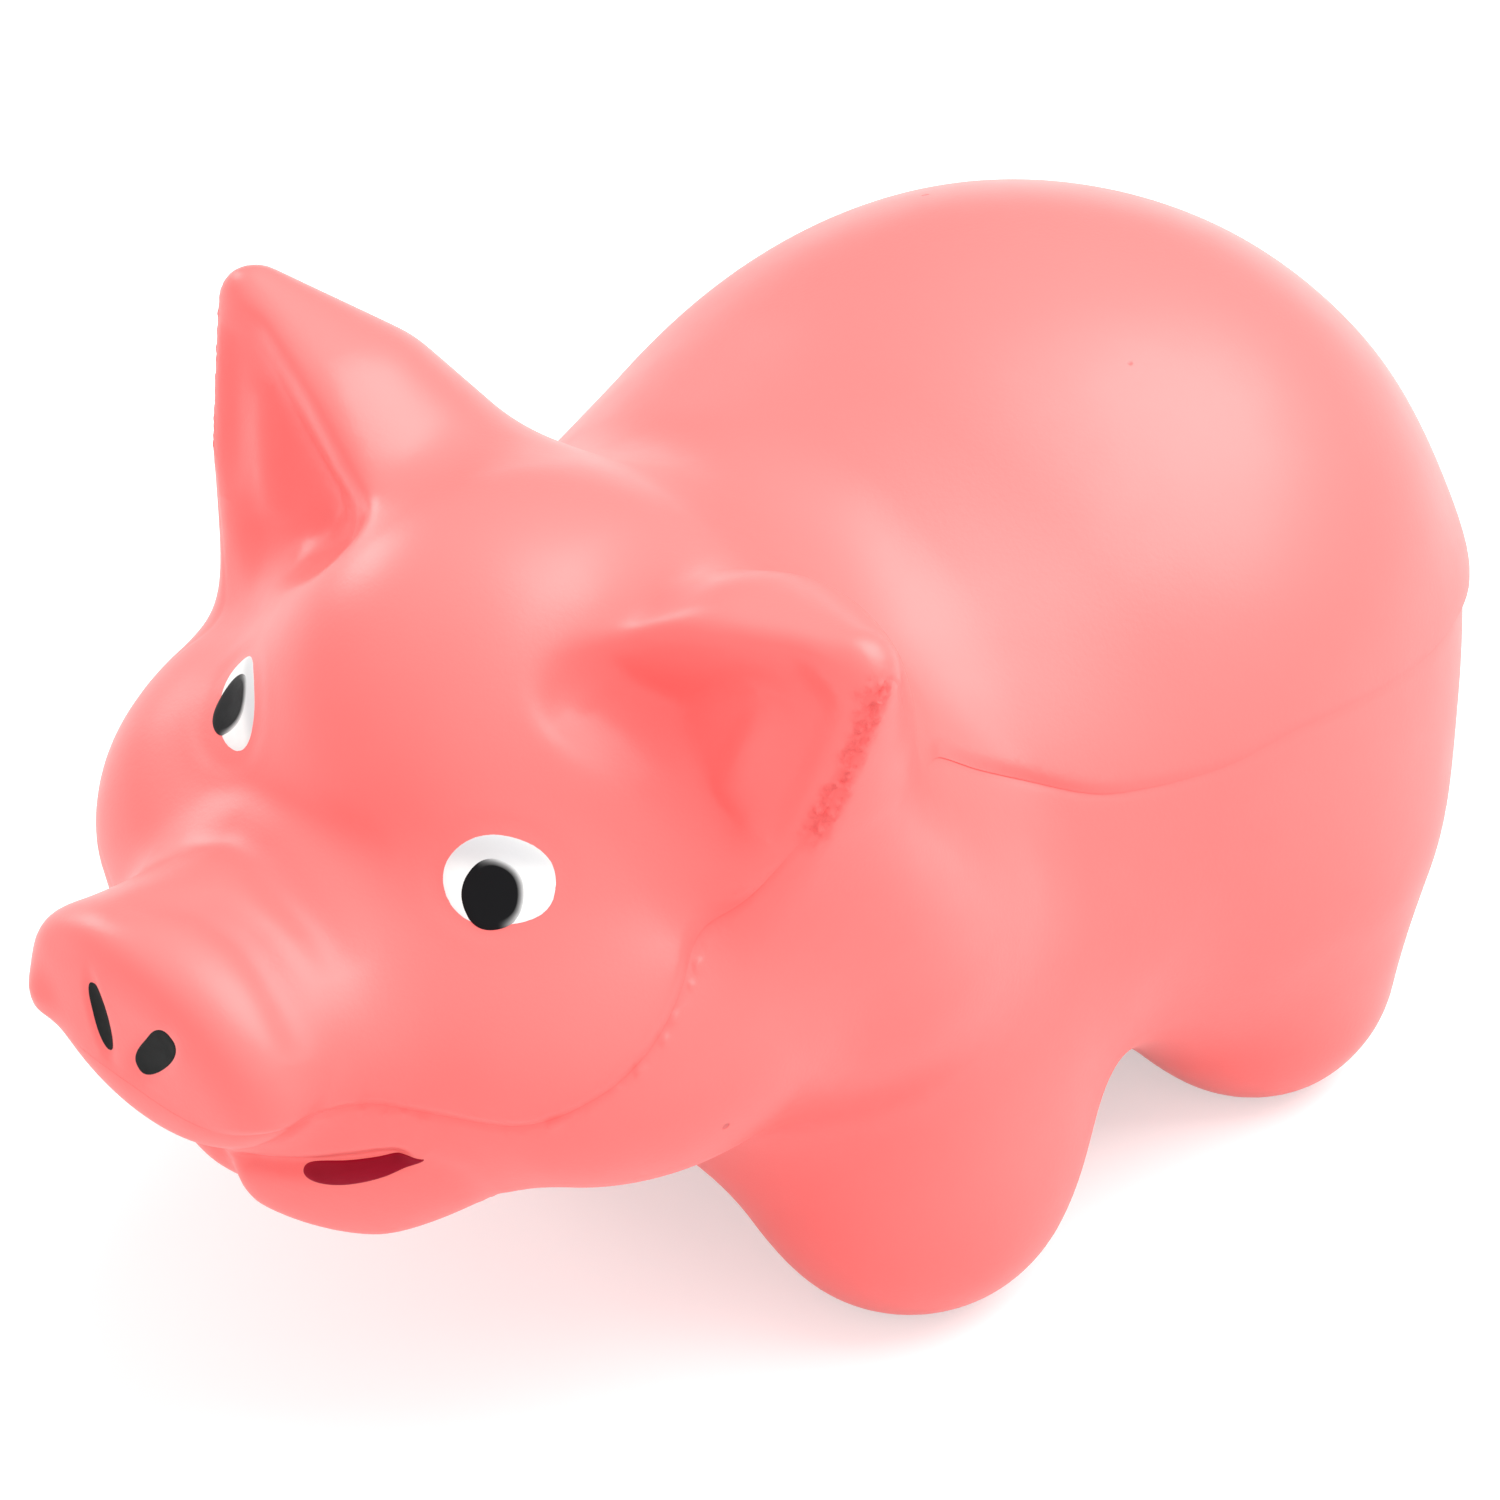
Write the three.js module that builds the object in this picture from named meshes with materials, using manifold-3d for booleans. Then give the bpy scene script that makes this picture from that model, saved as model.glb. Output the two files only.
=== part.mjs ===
// A squeezy foam pig on four short legs: a foam core in a coat of two halves, which meet at the
// mould's parting line, and the paint of its face. Millimetres, +Z up. The pig faces -Y, its left
// side is +X, and its four flat soles stand on the plane z = 0.

import * as THREE from 'three';
import { mergeVertices } from 'three/addons/utils/BufferGeometryUtils.js';
import Module from 'manifold-3d';

const wasm = await Module();
wasm.setup();

// Coat, paint and clearances
const SKIN = 1.2; // the coat with the dense foam that is bonded to it
const FIT_GAP = 0.3; // between the two halves of the coat, and round the core
const SEAM_STEP = 0.3; // how far the upper half stands proud of the lower one
const PAINT = 0.35; // thickness of the paint
const PAINT_GAP = 0.3; // clearance under the paint
const CREASE_GAP = 0.6; // and under the paint in the crease of the mouth

// Fineness of the surfaces
const COAT_CELL = 3.8;
const FINE_CELL = 1.9; // round the ears and at the nose
const CORE_CELL = 4.8;
const RIM_REACH = 1.2; // distance from an ear's rim within which vertices are drawn onto it
const PARTING_CELL = 2.4;
const BLOCK_SPARE = 1.2; // size of a cutting block, as a share of the pig's box
const PAINT_RINGS = 2;
const PAINT_STEPS = 20;

// Body: barrel, with the rump and chest placed from it
const BARREL_Y = 17.8;
const BARREL_Z = 24.6;
const BARREL_HALF_WIDTH = 28.6;
const BARREL_HALF_LENGTH = 29.9;
const BARREL_HALF_HEIGHT = 23;
const BARREL_PITCH = 4.8; // degrees, nose end down
const RUMP_BACK = 9.7;
const RUMP_RISE = 3.4;
const RUMP_HALF_WIDTH = 24.9;
const RUMP_HALF_LENGTH = 22;
const RUMP_HALF_HEIGHT = 21.4;
const CHEST_FORWARD = 19.6;
const CHEST_DROP = 1.4;
const CHEST_HALF_WIDTH = 23.8;
const CHEST_HALF_LENGTH = 20.1;
const CHEST_HALF_HEIGHT = 18.6;
const BODY_BLEND = 10;
const BELLY_Z = 6.5; // flat of the belly above the ground
const BELLY_ROUND = 8;

// Legs: front pair placed from the chest, rear pair from the rump
const FRONT_HIP_ASIDE = 12.7;
const FRONT_HIP_FORWARD = 2.4;
const FRONT_HIP_Z = 17.9;
const FRONT_HIP_RADIUS = 10.9;
const FRONT_FOOT_ASIDE = 18.1;
const FRONT_FOOT_FORWARD = 2.8;
const FRONT_FOOT_RADIUS = 10.4;
const REAR_HIP_ASIDE = 16.8;
const REAR_HIP_FORWARD = 2.4;
const REAR_HIP_Z = 15.8;
const REAR_HIP_RADIUS = 12.4;
const REAR_FOOT_ASIDE = 20.2;
const REAR_FOOT_FORWARD = 3.1;
const REAR_FOOT_RADIUS = 9.1;
const SOLE_DEPTH = 1.5; // cut off the round end of each leg
const LEG_BLEND = 8;

// Head: domed forehead placed from the chest, and all else on the head placed from the forehead
const HEAD_FORWARD = 17.6;
const HEAD_Z = 40.2;
const FOREHEAD_HALF_WIDTH = 15.5;
const FOREHEAD_HALF_LENGTH = 14.8;
const FOREHEAD_HALF_HEIGHT = 15.6;
const NECK_BACK = 6.2;
const NECK_DROP = 4.6;
const NECK_HALF_WIDTH = 20.5;
const NECK_HALF_LENGTH = 15;
const NECK_HALF_HEIGHT = 16.1;
const CHEEK_ASIDE = 12.8;
const CHEEK_FORWARD = 2.5;
const CHEEK_DROP = 9.1;
const CHEEK_HALF_WIDTH = 12.6;
const CHEEK_HALF_LENGTH = 16.6;
const CHEEK_HALF_HEIGHT = 11.2;
const HEAD_BLEND = 6;
const NECK_BLEND = 8;

// Snout: a tapered tube, wider than it is high, cut by the flat of the nose, over the jaw
const SNOUT_ROOT_FORWARD = 8.6;
const SNOUT_ROOT_DROP = 7.2;
const SNOUT_ROOT_RADIUS = 6.2;
const NOSE_FORWARD = 30.6;
const NOSE_DROP = 5.6;
const NOSE_RADIUS = 6.9;
const NOSE_INSET = 0.8; // end of the tube's axis behind the flat of the nose
const NOSE_ROUND = 4;
const SNOUT_WIDENING = 1.48;
const SNOUT_BLEND = 6;
const JAW_FORWARD = 15;
const JAW_DROP = 14;
const JAW_HALF_WIDTH = 14.5;
const JAW_HALF_LENGTH = 10.6;
const JAW_HALF_HEIGHT = 10.5;
const JAW_BLEND = 4;

// Ears: stout cones through three balls, cut by a flat face with a hollow, with a web down to the
// shoulder. Balls and web lie aside, back and up from the forehead's centre.
const EAR_TIP = [25.2, 3.4, 16.3];
const EAR_TIP_RADIUS = 2.6;
const EAR_MIDDLE = [18.2, 2.8, 9.1];
const EAR_MIDDLE_RADIUS = 8.65;
const EAR_ROOT = [11.65, 3, 0.75];
const EAR_ROOT_RADIUS = 12.55;
const EAR_BLEND = 3;
const EAR_TURN = 11.4; // degrees that the face turns outwards
const EAR_TILT = 12.4; // and upwards
const EAR_FACE = 2.2; // face in front of the tip's centre
const EAR_RIM = 1.6;
const HOLLOW_BROW = [-14.8, -5.4, 1.5]; // across, up and out, from the face's point at the tip
const HOLLOW_TIP = [-3.2, -1.6, 1.5];
const HOLLOW_CHEEK = [-7, -10.6, 1.5];
const HOLLOW_FLOOR = [-11.3, -6.8, -0.4];
const HOLLOW_ROUND = 2;
const HOLLOW_BLEND = 2.4;
const WEB_TOP = [22.2, 4.2, 7.3];
const WEB_TOP_RADIUS = 3.2;
const WEB_FOOT = [18.7, 10.3, -10.2];
const WEB_FOOT_RADIUS = 8.1;
const WEB_BLEND = 6;
const MIDLINE_SOFTNESS = 1; // rounds the fold between the left and right copies of a form

// Parting line, side view: heights of the stations, from the head's or the barrel's centre
const SEAM_NOSE_DROP = 8.3;
const SEAM_LIP_FORWARD = 19.6;
const SEAM_LIP_DROP = 8.4;
const SEAM_CHEEK_FORWARD = 9;
const SEAM_CHEEK_DROP = 2.8;
const SEAM_EAR_RISE = 4.2;
const SEAM_SHOULDER_FORWARD = 16.6;
const SEAM_SHOULDER_RISE = 12.4;
const SEAM_FLANK_FORWARD = 8;
const SEAM_FLANK_RISE = 9.2;
const SEAM_RUMP_BACK = 32;
const SEAM_RUMP_RISE = 4.6;
const SEAM_TIP_DROP = -0.4; // below the tip of the ear
const SEAM_TIP_WIDTH = 4; // reach of the rise to the ear's tip, across and along the pig
const SEAM_TIP_LENGTH = 3.2;

// Paint of the face
const EYE_ASIDE = 11.2;
const EYE_RISE = 2.6;
const EYE_HALF_WIDTH = 3.4;
const EYE_HALF_HEIGHT = 2.7;
const PUPIL_RADIUS = 1.9;
const PUPIL_DROP = 0.7;
const NOSTRIL_ASIDE = 2.3;
const NOSTRIL_RISE = 1; // above the middle of the nose
const NOSTRIL_HALF_WIDTH = 0.9;
const NOSTRIL_HALF_HEIGHT = 2;
const NOSTRIL_LEAN = 28; // degrees, tops outwards
const MOUTH_ASIDE = 9.9; // a stroke at each side of the mouth, from the jaw's centre
const MOUTH_RISE = 0.1;
const MOUTH_HALF_LENGTH = 3.6;
const MOUTH_HALF_HEIGHT = 0.75;
const MOUTH_SMILE = 1.35; // rise of its outer end above its middle

const PINK = 0xff8d88;
const FOAM = 0xffc9bf;
const WHITE = 0xf4f4f2;
const BLACK = 0x16161a;
const DARK_RED = 0x9a0a26;
const SATIN = 0.45; // roughness of the coat and the paint
const MATT = 0.95;

const MARCH_STEPS = 60;
const MARCH_SHARE = 0.8;
const SETTLE_STEPS = 6;
const SETTLE_STRIDE = 0.5;
const SLOPE_STEP = 0.01;
const MAX_TAPER = 0.95;

const point = (x, y, z) => new THREE.Vector3(x, y, z);

// Distance forms: the signed distance from a point to a simple body, negative inside it

function ellipsoid(centre, radii, turn = new THREE.Quaternion()) {
  const back = turn.clone().invert();
  const scaled = point(0, 0, 0);
  return (p) => {
    scaled.subVectors(p, centre).applyQuaternion(back).divide(radii);
    const reach = scaled.length();
    const slope = scaled.divide(radii).length();
    if (slope === 0) return -Math.min(radii.x, radii.y, radii.z);
    return (reach * (reach - 1)) / slope;
  };
}

function taperedTube(start, end, startRadius, endRadius) {
  const axis = point(0, 0, 0).subVectors(end, start);
  const length = axis.length();
  axis.normalize();
  const sine = THREE.MathUtils.clamp((startRadius - endRadius) / length, -MAX_TAPER, MAX_TAPER);
  const cosine = Math.sqrt(1 - sine * sine);
  const offset = point(0, 0, 0);
  return (p) => {
    offset.subVectors(p, start);
    const along = offset.dot(axis);
    const aside = Math.sqrt(Math.max(offset.lengthSq() - along * along, 0));
    const side = cosine * along - sine * aside;
    if (side < 0) return Math.hypot(aside, along) - startRadius;
    if (side > cosine * length) return Math.hypot(aside, along - length) - endRadius;
    return cosine * aside + sine * along - startRadius;
  };
}

function roundedWedge(corners, round) {
  const middle = point(0, 0, 0);
  corners.forEach((corner) => middle.addScaledVector(corner, 1 / corners.length));
  const faces = corners.map((_, left) => {
    const face = new THREE.Triangle(...corners.filter((__, index) => index !== left));
    const plane = face.getPlane(new THREE.Plane());
    return { face, plane: plane.distanceToPoint(middle) > 0 ? plane.negate() : plane };
  });
  const nearest = point(0, 0, 0);
  return (p) => {
    const depth = Math.max(...faces.map(({ plane }) => plane.distanceToPoint(p)));
    if (depth <= 0) return depth - round;
    const away = faces.map(({ face }) => face.closestPointToPoint(p, nearest).distanceTo(p));
    return Math.min(...away) - round;
  };
}

function smoothMin(a, b, blend) {
  const overlap = Math.max(blend - Math.abs(a - b), 0) / blend;
  return Math.min(a, b) - (overlap * overlap * blend) / 4;
}

function smoothMax(a, b, blend) {
  return -smoothMin(-a, -b, blend);
}

// Body and legs

const barrelCentre = point(0, BARREL_Y, BARREL_Z);
const rumpCentre = point(0, BARREL_Y + RUMP_BACK, BARREL_Z + RUMP_RISE);
const chestCentre = point(0, BARREL_Y - CHEST_FORWARD, BARREL_Z - CHEST_DROP);
const barrelPitch = THREE.MathUtils.degToRad(BARREL_PITCH);
const barrelTurn = new THREE.Quaternion().setFromAxisAngle(point(1, 0, 0), barrelPitch);

const barrel = ellipsoid(
  barrelCentre,
  point(BARREL_HALF_WIDTH, BARREL_HALF_LENGTH, BARREL_HALF_HEIGHT),
  barrelTurn,
);
const rump = ellipsoid(rumpCentre, point(RUMP_HALF_WIDTH, RUMP_HALF_LENGTH, RUMP_HALF_HEIGHT));
const chest = ellipsoid(chestCentre, point(CHEST_HALF_WIDTH, CHEST_HALF_LENGTH, CHEST_HALF_HEIGHT));

const frontLeg = taperedTube(
  point(FRONT_HIP_ASIDE, chestCentre.y - FRONT_HIP_FORWARD, FRONT_HIP_Z),
  point(FRONT_FOOT_ASIDE, chestCentre.y - FRONT_FOOT_FORWARD, FRONT_FOOT_RADIUS - SOLE_DEPTH),
  FRONT_HIP_RADIUS,
  FRONT_FOOT_RADIUS,
);
const rearLeg = taperedTube(
  point(REAR_HIP_ASIDE, rumpCentre.y - REAR_HIP_FORWARD, REAR_HIP_Z),
  point(REAR_FOOT_ASIDE, rumpCentre.y - REAR_FOOT_FORWARD, REAR_FOOT_RADIUS - SOLE_DEPTH),
  REAR_HIP_RADIUS,
  REAR_FOOT_RADIUS,
);

// Head, snout and jaw

const head = point(0, chestCentre.y - HEAD_FORWARD, HEAD_Z);
const onHead = (aside, back, up) => point(aside, head.y + back, head.z + up);
const noseY = head.y - NOSE_FORWARD;
const noseZ = head.z - NOSE_DROP;
const jawCentre = onHead(0, -JAW_FORWARD, -JAW_DROP);

const forehead = ellipsoid(
  head,
  point(FOREHEAD_HALF_WIDTH, FOREHEAD_HALF_LENGTH, FOREHEAD_HALF_HEIGHT),
);
const neck = ellipsoid(
  onHead(0, NECK_BACK, -NECK_DROP),
  point(NECK_HALF_WIDTH, NECK_HALF_LENGTH, NECK_HALF_HEIGHT),
);
const cheek = ellipsoid(
  onHead(CHEEK_ASIDE, -CHEEK_FORWARD, -CHEEK_DROP),
  point(CHEEK_HALF_WIDTH, CHEEK_HALF_LENGTH, CHEEK_HALF_HEIGHT),
);
const snoutTube = taperedTube(
  onHead(0, -SNOUT_ROOT_FORWARD, -SNOUT_ROOT_DROP),
  point(0, noseY + NOSE_INSET, noseZ),
  SNOUT_ROOT_RADIUS,
  NOSE_RADIUS,
);
const jaw = ellipsoid(jawCentre, point(JAW_HALF_WIDTH, JAW_HALF_LENGTH, JAW_HALF_HEIGHT));

const narrowed = point(0, 0, 0);

function snout(p) {
  narrowed.set(p.x / SNOUT_WIDENING, p.y, p.z);
  return smoothMax(snoutTube(narrowed), noseY - p.y, NOSE_ROUND);
}

// Ears

const earTip = onHead(...EAR_TIP);
const earMiddle = onHead(...EAR_MIDDLE);
const earRoot = onHead(...EAR_ROOT);
const earUpper = taperedTube(earTip, earMiddle, EAR_TIP_RADIUS, EAR_MIDDLE_RADIUS);
const earLower = taperedTube(earMiddle, earRoot, EAR_MIDDLE_RADIUS, EAR_ROOT_RADIUS);
const earTurn = new THREE.Euler(
  -THREE.MathUtils.degToRad(EAR_TILT),
  0,
  THREE.MathUtils.degToRad(EAR_TURN),
  'ZXY',
);
const earOut = point(0, -1, 0).applyEuler(earTurn);
const earAcross = point(1, 0, 0).applyEuler(earTurn);
const earUp = point(0, 0, 1).applyEuler(earTurn);
const earFoot = earTip.clone().addScaledVector(earOut, EAR_FACE);
const earFace = new THREE.Plane().setFromNormalAndCoplanarPoint(earOut, earFoot);
const onFace = (across, up, out) => earFoot.clone()
  .addScaledVector(earAcross, across)
  .addScaledVector(earUp, up)
  .addScaledVector(earOut, out);
const earHollow = roundedWedge(
  [onFace(...HOLLOW_BROW), onFace(...HOLLOW_TIP), onFace(...HOLLOW_CHEEK), onFace(...HOLLOW_FLOOR)],
  HOLLOW_ROUND,
);
const earWeb = taperedTube(
  onHead(...WEB_TOP),
  onHead(...WEB_FOOT),
  WEB_TOP_RADIUS,
  WEB_FOOT_RADIUS,
);

const earCone = (p) => Math.min(earUpper(p), earLower(p));
const ear = (p) => smoothMax(earCone(p), earFace.distanceToPoint(p), EAR_RIM);

// The pig as one blended field, zero on its surface and negative inside: the trunk without the
// ears and their webs, which are dense foam throughout, and the whole pig

const folded = point(0, 0, 0);

function trunk(p) {
  folded.set(Math.hypot(p.x, MIDLINE_SOFTNESS), p.y, p.z);
  let body = smoothMin(barrel(p), rump(p), BODY_BLEND);
  body = smoothMin(body, chest(p), BODY_BLEND);
  body = smoothMax(body, BELLY_Z - p.z, BELLY_ROUND);
  body = smoothMin(body, frontLeg(folded), LEG_BLEND);
  body = smoothMin(body, rearLeg(folded), LEG_BLEND);
  let face = smoothMin(neck(p), cheek(folded), HEAD_BLEND);
  face = smoothMin(face, forehead(p), HEAD_BLEND);
  face = smoothMin(face, snout(p), SNOUT_BLEND);
  face = smoothMin(face, jaw(p), JAW_BLEND);
  const whole = smoothMin(body, face, NECK_BLEND);
  return smoothMax(whole, -earHollow(folded), HOLLOW_BLEND);
}

function wholePig(p) {
  const webbed = smoothMin(trunk(p), earWeb(folded), WEB_BLEND);
  const eared = smoothMin(webbed, ear(folded), EAR_BLEND);
  return smoothMax(eared, -earHollow(folded), HOLLOW_BLEND);
}

function slope(field, p) {
  const rise = ['x', 'y', 'z'].map((axis) => {
    const ahead = p.clone();
    const behind = p.clone();
    ahead[axis] += SLOPE_STEP;
    behind[axis] -= SLOPE_STEP;
    return (field(ahead) - field(behind)) / (2 * SLOPE_STEP);
  });
  return point(...rise);
}

// Moves a point along the slope until the field there equals the level
function settle(field, p, level) {
  const settled = p.clone();
  for (let step = 0; step < SETTLE_STEPS; step += 1) {
    const rise = slope(field, settled);
    const gap = (level - field(settled)) / rise.length();
    const stride = THREE.MathUtils.clamp(gap, -SETTLE_STRIDE, SETTLE_STRIDE);
    settled.addScaledVector(rise.normalize(), stride);
  }
  return settled;
}

const reachAside = Math.max(
  BARREL_HALF_WIDTH,
  RUMP_HALF_WIDTH,
  EAR_TIP[0] + EAR_TIP_RADIUS,
  WEB_TOP[0] + WEB_TOP_RADIUS,
);
const reachBack = Math.max(BARREL_Y + BARREL_HALF_LENGTH, rumpCentre.y + RUMP_HALF_LENGTH);
const reachUp = Math.max(BARREL_Z + BARREL_HALF_HEIGHT, rumpCentre.z + RUMP_HALF_HEIGHT, earTip.z);
const MARGIN = 2 * CORE_CELL + BODY_BLEND / 4;
const bounds = new THREE.Box3(
  point(-reachAside - MARGIN, noseY - MARGIN, -SOLE_DEPTH - MARGIN),
  point(reachAside + MARGIN, reachBack + MARGIN, reachUp + EAR_TIP_RADIUS + MARGIN),
);

// Corners of a grid cell are numbered by the bits of their x, y and z steps. An edge of the cell is
// the corner that it starts from and its axis, and a face is its four corners in order.
const cellEdge = (corner, axis) => corner * 3 + axis;
const cellFaces = [0, 1, 2].flatMap((axis) => [0, 1].map((side) => {
  const first = 1 << ((axis + 1) % 3);
  const second = 1 << ((axis + 2) % 3);
  const corner = side << axis;
  return [corner, corner | first, corner | first | second, corner | second];
}));

function edgeBetween(a, b) {
  return cellEdge(Math.min(a, b), Math.log2(a ^ b));
}

// Closed rings of crossed edges in one cell: each ring is one patch of the surface
function crossedRings(inside) {
  const links = new Map();
  const link = (a, b) => {
    if (!links.has(a)) links.set(a, []);
    if (!links.has(b)) links.set(b, []);
    links.get(a).push(b);
    links.get(b).push(a);
  };
  for (const face of cellFaces) {
    const edges = face.map((corner, index) => edgeBetween(corner, face[(index + 1) % 4]));
    const crossed = edges.filter((_, index) => inside[face[index]] !== inside[face[(index + 1) % 4]]);
    if (crossed.length === 2) link(...crossed);
    if (crossed.length < 4) continue;
    face.forEach((corner, index) => {
      if (!inside[corner]) link(edges[(index + 3) % 4], edges[index]);
    });
  }
  const rings = [];
  const used = new Set();
  for (const start of links.keys()) {
    if (used.has(start)) continue;
    const ring = [];
    let edge = start;
    while (edge !== undefined) {
      used.add(edge);
      ring.push(edge);
      edge = links.get(edge).find((next) => !used.has(next));
    }
    rings.push(ring);
  }
  return rings;
}

// Places of the grid's lines along each axis, closer together where the ears and the nose are

const within = (value, from, to) => value > from && value < to;
const earBrow = earMiddle.x - EAR_MIDDLE_RADIUS;
const earFront = earMiddle.y - EAR_MIDDLE_RADIUS;
const earBack = earMiddle.y + EAR_MIDDLE_RADIUS;
const nearEarAside = (x) => within(Math.abs(x), earBrow, earTip.x + EAR_TIP_RADIUS);
const nearEarAlong = (y) => within(y, earFront, earBack);
const nearNose = (y) => within(y, noseY - NOSE_ROUND, noseY + NOSE_ROUND);
const nearEarUp = (z) => z > earMiddle.z - EAR_MIDDLE_RADIUS;

function gridLine(axis, cell, fineCell, isFine) {
  const places = [bounds.min[axis]];
  while (places.at(-1) < bounds.max[axis]) {
    places.push(places.at(-1) + (isFine(places.at(-1)) ? fineCell : cell));
  }
  return places;
}

function gridLines(cell, fineCell) {
  return [
    gridLine('x', cell, fineCell, nearEarAside),
    gridLine('y', cell, fineCell, (y) => nearEarAlong(y) || nearNose(y)),
    gridLine('z', cell, fineCell, nearEarUp),
  ];
}

// Closed surface on which the field equals the level: a vertex for each ring of crossed edges, and
// a quad round each grid edge that the surface crosses
function levelMesh(field, level, lines) {
  const counts = lines.map((line) => line.length);
  const strides = [1, counts[0], counts[0] * counts[1]];
  const gridPoint = (index) => point(
    lines[0][index % counts[0]],
    lines[1][Math.floor(index / strides[1]) % counts[1]],
    lines[2][Math.floor(index / strides[2])],
  );
  const total = counts[0] * counts[1] * counts[2];
  const values = Float64Array.from({ length: total }, (_, index) => field(gridPoint(index)) - level);
  const cornerStep = (corner) => [0, 1, 2].reduce(
    (sum, axis) => sum + ((corner >> axis) & 1) * strides[axis],
    0,
  );
  const steps = Array.from({ length: 8 }, (_, corner) => cornerStep(corner));
  const vertices = [];
  const quads = new Map();

  function addRing(ring, base) {
    const middle = point(0, 0, 0);
    for (const edge of ring) {
      const axis = edge % 3;
      const low = base + steps[Math.floor(edge / 3)];
      const share = values[low] / (values[low] - values[low + strides[axis]]);
      const crossing = gridPoint(low).lerp(gridPoint(low + strides[axis]), share);
      middle.addScaledVector(crossing, 1 / ring.length);
    }
    vertices.push(settle(field, middle, level));
    for (const edge of ring) {
      const corner = Math.floor(edge / 3);
      const axis = edge % 3;
      const key = (base + steps[corner]) * 3 + axis;
      if (!quads.has(key)) quads.set(key, []);
      const first = (corner >> ((axis + 1) % 3)) & 1;
      const second = (corner >> ((axis + 2) % 3)) & 1;
      quads.get(key)[second ? 3 - first : first] = vertices.length - 1;
    }
  }

  for (let index = 0; index < total; index += 1) {
    const x = index % counts[0];
    const y = Math.floor(index / strides[1]) % counts[1];
    const z = Math.floor(index / strides[2]);
    if (x + 1 === counts[0] || y + 1 === counts[1] || z + 1 === counts[2]) continue;
    const inside = steps.map((step) => values[index + step] < 0);
    if (inside.every((flag) => flag === inside[0])) continue;
    crossedRings(inside).forEach((ring) => addRing(ring, index));
  }

  const triangles = [];
  for (const [key, quad] of quads) {
    const [a, b, c, d] = values[Math.floor(key / 3)] < 0 ? quad : quad.toReversed();
    const acIsShorter = vertices[a].distanceTo(vertices[c]) < vertices[b].distanceTo(vertices[d]);
    if (acIsShorter) triangles.push(a, b, c, a, c, d);
    else triangles.push(a, b, d, b, c, d);
  }
  return { vertices, triangles };
}

// The same mesh, moved to another level of the field
function movedTo(field, level, { vertices, triangles }) {
  return { vertices: vertices.map((vertex) => settle(field, vertex, level)), triangles };
}

// Zero on the rim of an ear's face, where the cone and the face meet
function rimGap(p) {
  folded.set(Math.hypot(p.x, MIDLINE_SOFTNESS), p.y, p.z);
  return earCone(folded) - earFace.distanceToPoint(folded);
}

// The same mesh, with the vertices near the rim of an ear's face drawn onto it
function withEvenRims({ vertices, triangles }) {
  const even = vertices.map((vertex) => {
    const nearRim = Math.abs(rimGap(vertex)) < RIM_REACH;
    const onEar = Math.abs(ear(folded)) < RIM_REACH;
    const inHead = folded.sub(earFoot).dot(earAcross) < HOLLOW_BROW[0] + HOLLOW_ROUND;
    if (!nearRim || !onEar || inHead) return vertex;
    return settle(wholePig, settle(rimGap, vertex, 0), 0);
  });
  return { vertices: even, triangles };
}

// Solids for cutting, and back to geometry

function toSolid(positions, triangles) {
  const mesh = new wasm.Mesh({
    numProp: 3,
    vertProperties: Float32Array.from(positions),
    triVerts: Uint32Array.from(triangles),
  });
  return new wasm.Manifold(mesh);
}

function solidFrom({ vertices, triangles }) {
  return toSolid(vertices.flatMap((vertex) => vertex.toArray()), triangles);
}

function solidOf(geometry) {
  geometry.deleteAttribute('normal');
  geometry.deleteAttribute('uv');
  const merged = mergeVertices(geometry);
  return toSolid(merged.attributes.position.array, merged.index.array);
}

function toGeometry(positions, triangles) {
  const geometry = new THREE.BufferGeometry();
  geometry.setAttribute('position', new THREE.Float32BufferAttribute(positions, 3));
  geometry.setIndex(Array.from(triangles));
  geometry.computeVertexNormals();
  return geometry;
}

function geometryOf(solid) {
  const mesh = solid.getMesh();
  return toGeometry(mesh.vertProperties, mesh.triVerts);
}

// Everything below a height, as a block with a flat or a shaped top
function blockBelow(heightAt, cell) {
  const size = bounds.getSize(point(0, 0, 0)).multiplyScalar(BLOCK_SPARE);
  const middle = bounds.getCenter(point(0, 0, 0));
  const block = new THREE.BoxGeometry(
    size.x,
    size.y,
    size.z,
    Math.ceil(size.x / cell),
    Math.ceil(size.y / cell),
    1,
  );
  block.translate(0, middle.y, 0);
  const position = block.attributes.position;
  for (let index = 0; index < position.count; index += 1) {
    if (position.getZ(index) < 0) continue;
    position.setZ(index, heightAt(position.getX(index), position.getY(index)));
  }
  return solidOf(block);
}

// Parting line: a side view of its stations, raised to the tip of each ear

const seamStations = [
  [noseY - MARGIN, head.z - SEAM_NOSE_DROP],
  [noseY, head.z - SEAM_NOSE_DROP],
  [head.y - SEAM_LIP_FORWARD, head.z - SEAM_LIP_DROP],
  [head.y - SEAM_CHEEK_FORWARD, head.z - SEAM_CHEEK_DROP],
  [earMiddle.y, head.z + SEAM_EAR_RISE],
  [barrelCentre.y - SEAM_SHOULDER_FORWARD, barrelCentre.z + SEAM_SHOULDER_RISE],
  [barrelCentre.y - SEAM_FLANK_FORWARD, barrelCentre.z + SEAM_FLANK_RISE],
  [barrelCentre.y + SEAM_RUMP_BACK, barrelCentre.z + SEAM_RUMP_RISE],
  [reachBack + MARGIN, barrelCentre.z + SEAM_RUMP_RISE],
];
const seamLine = new THREE.CubicInterpolant(
  seamStations.map(([y]) => y),
  seamStations.map(([, z]) => z),
  1,
);
const seamHeight = (y) => seamLine.evaluate(y)[0];
const earRise = earTip.z - SEAM_TIP_DROP - seamHeight(earTip.y);

function partingHeight(x, y) {
  const aside = Math.min(Math.abs(x) - earTip.x, 0) / SEAM_TIP_WIDTH;
  const along = (y - earTip.y) / SEAM_TIP_LENGTH;
  return seamHeight(y) + earRise * Math.exp(-aside * aside - along * along);
}

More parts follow.
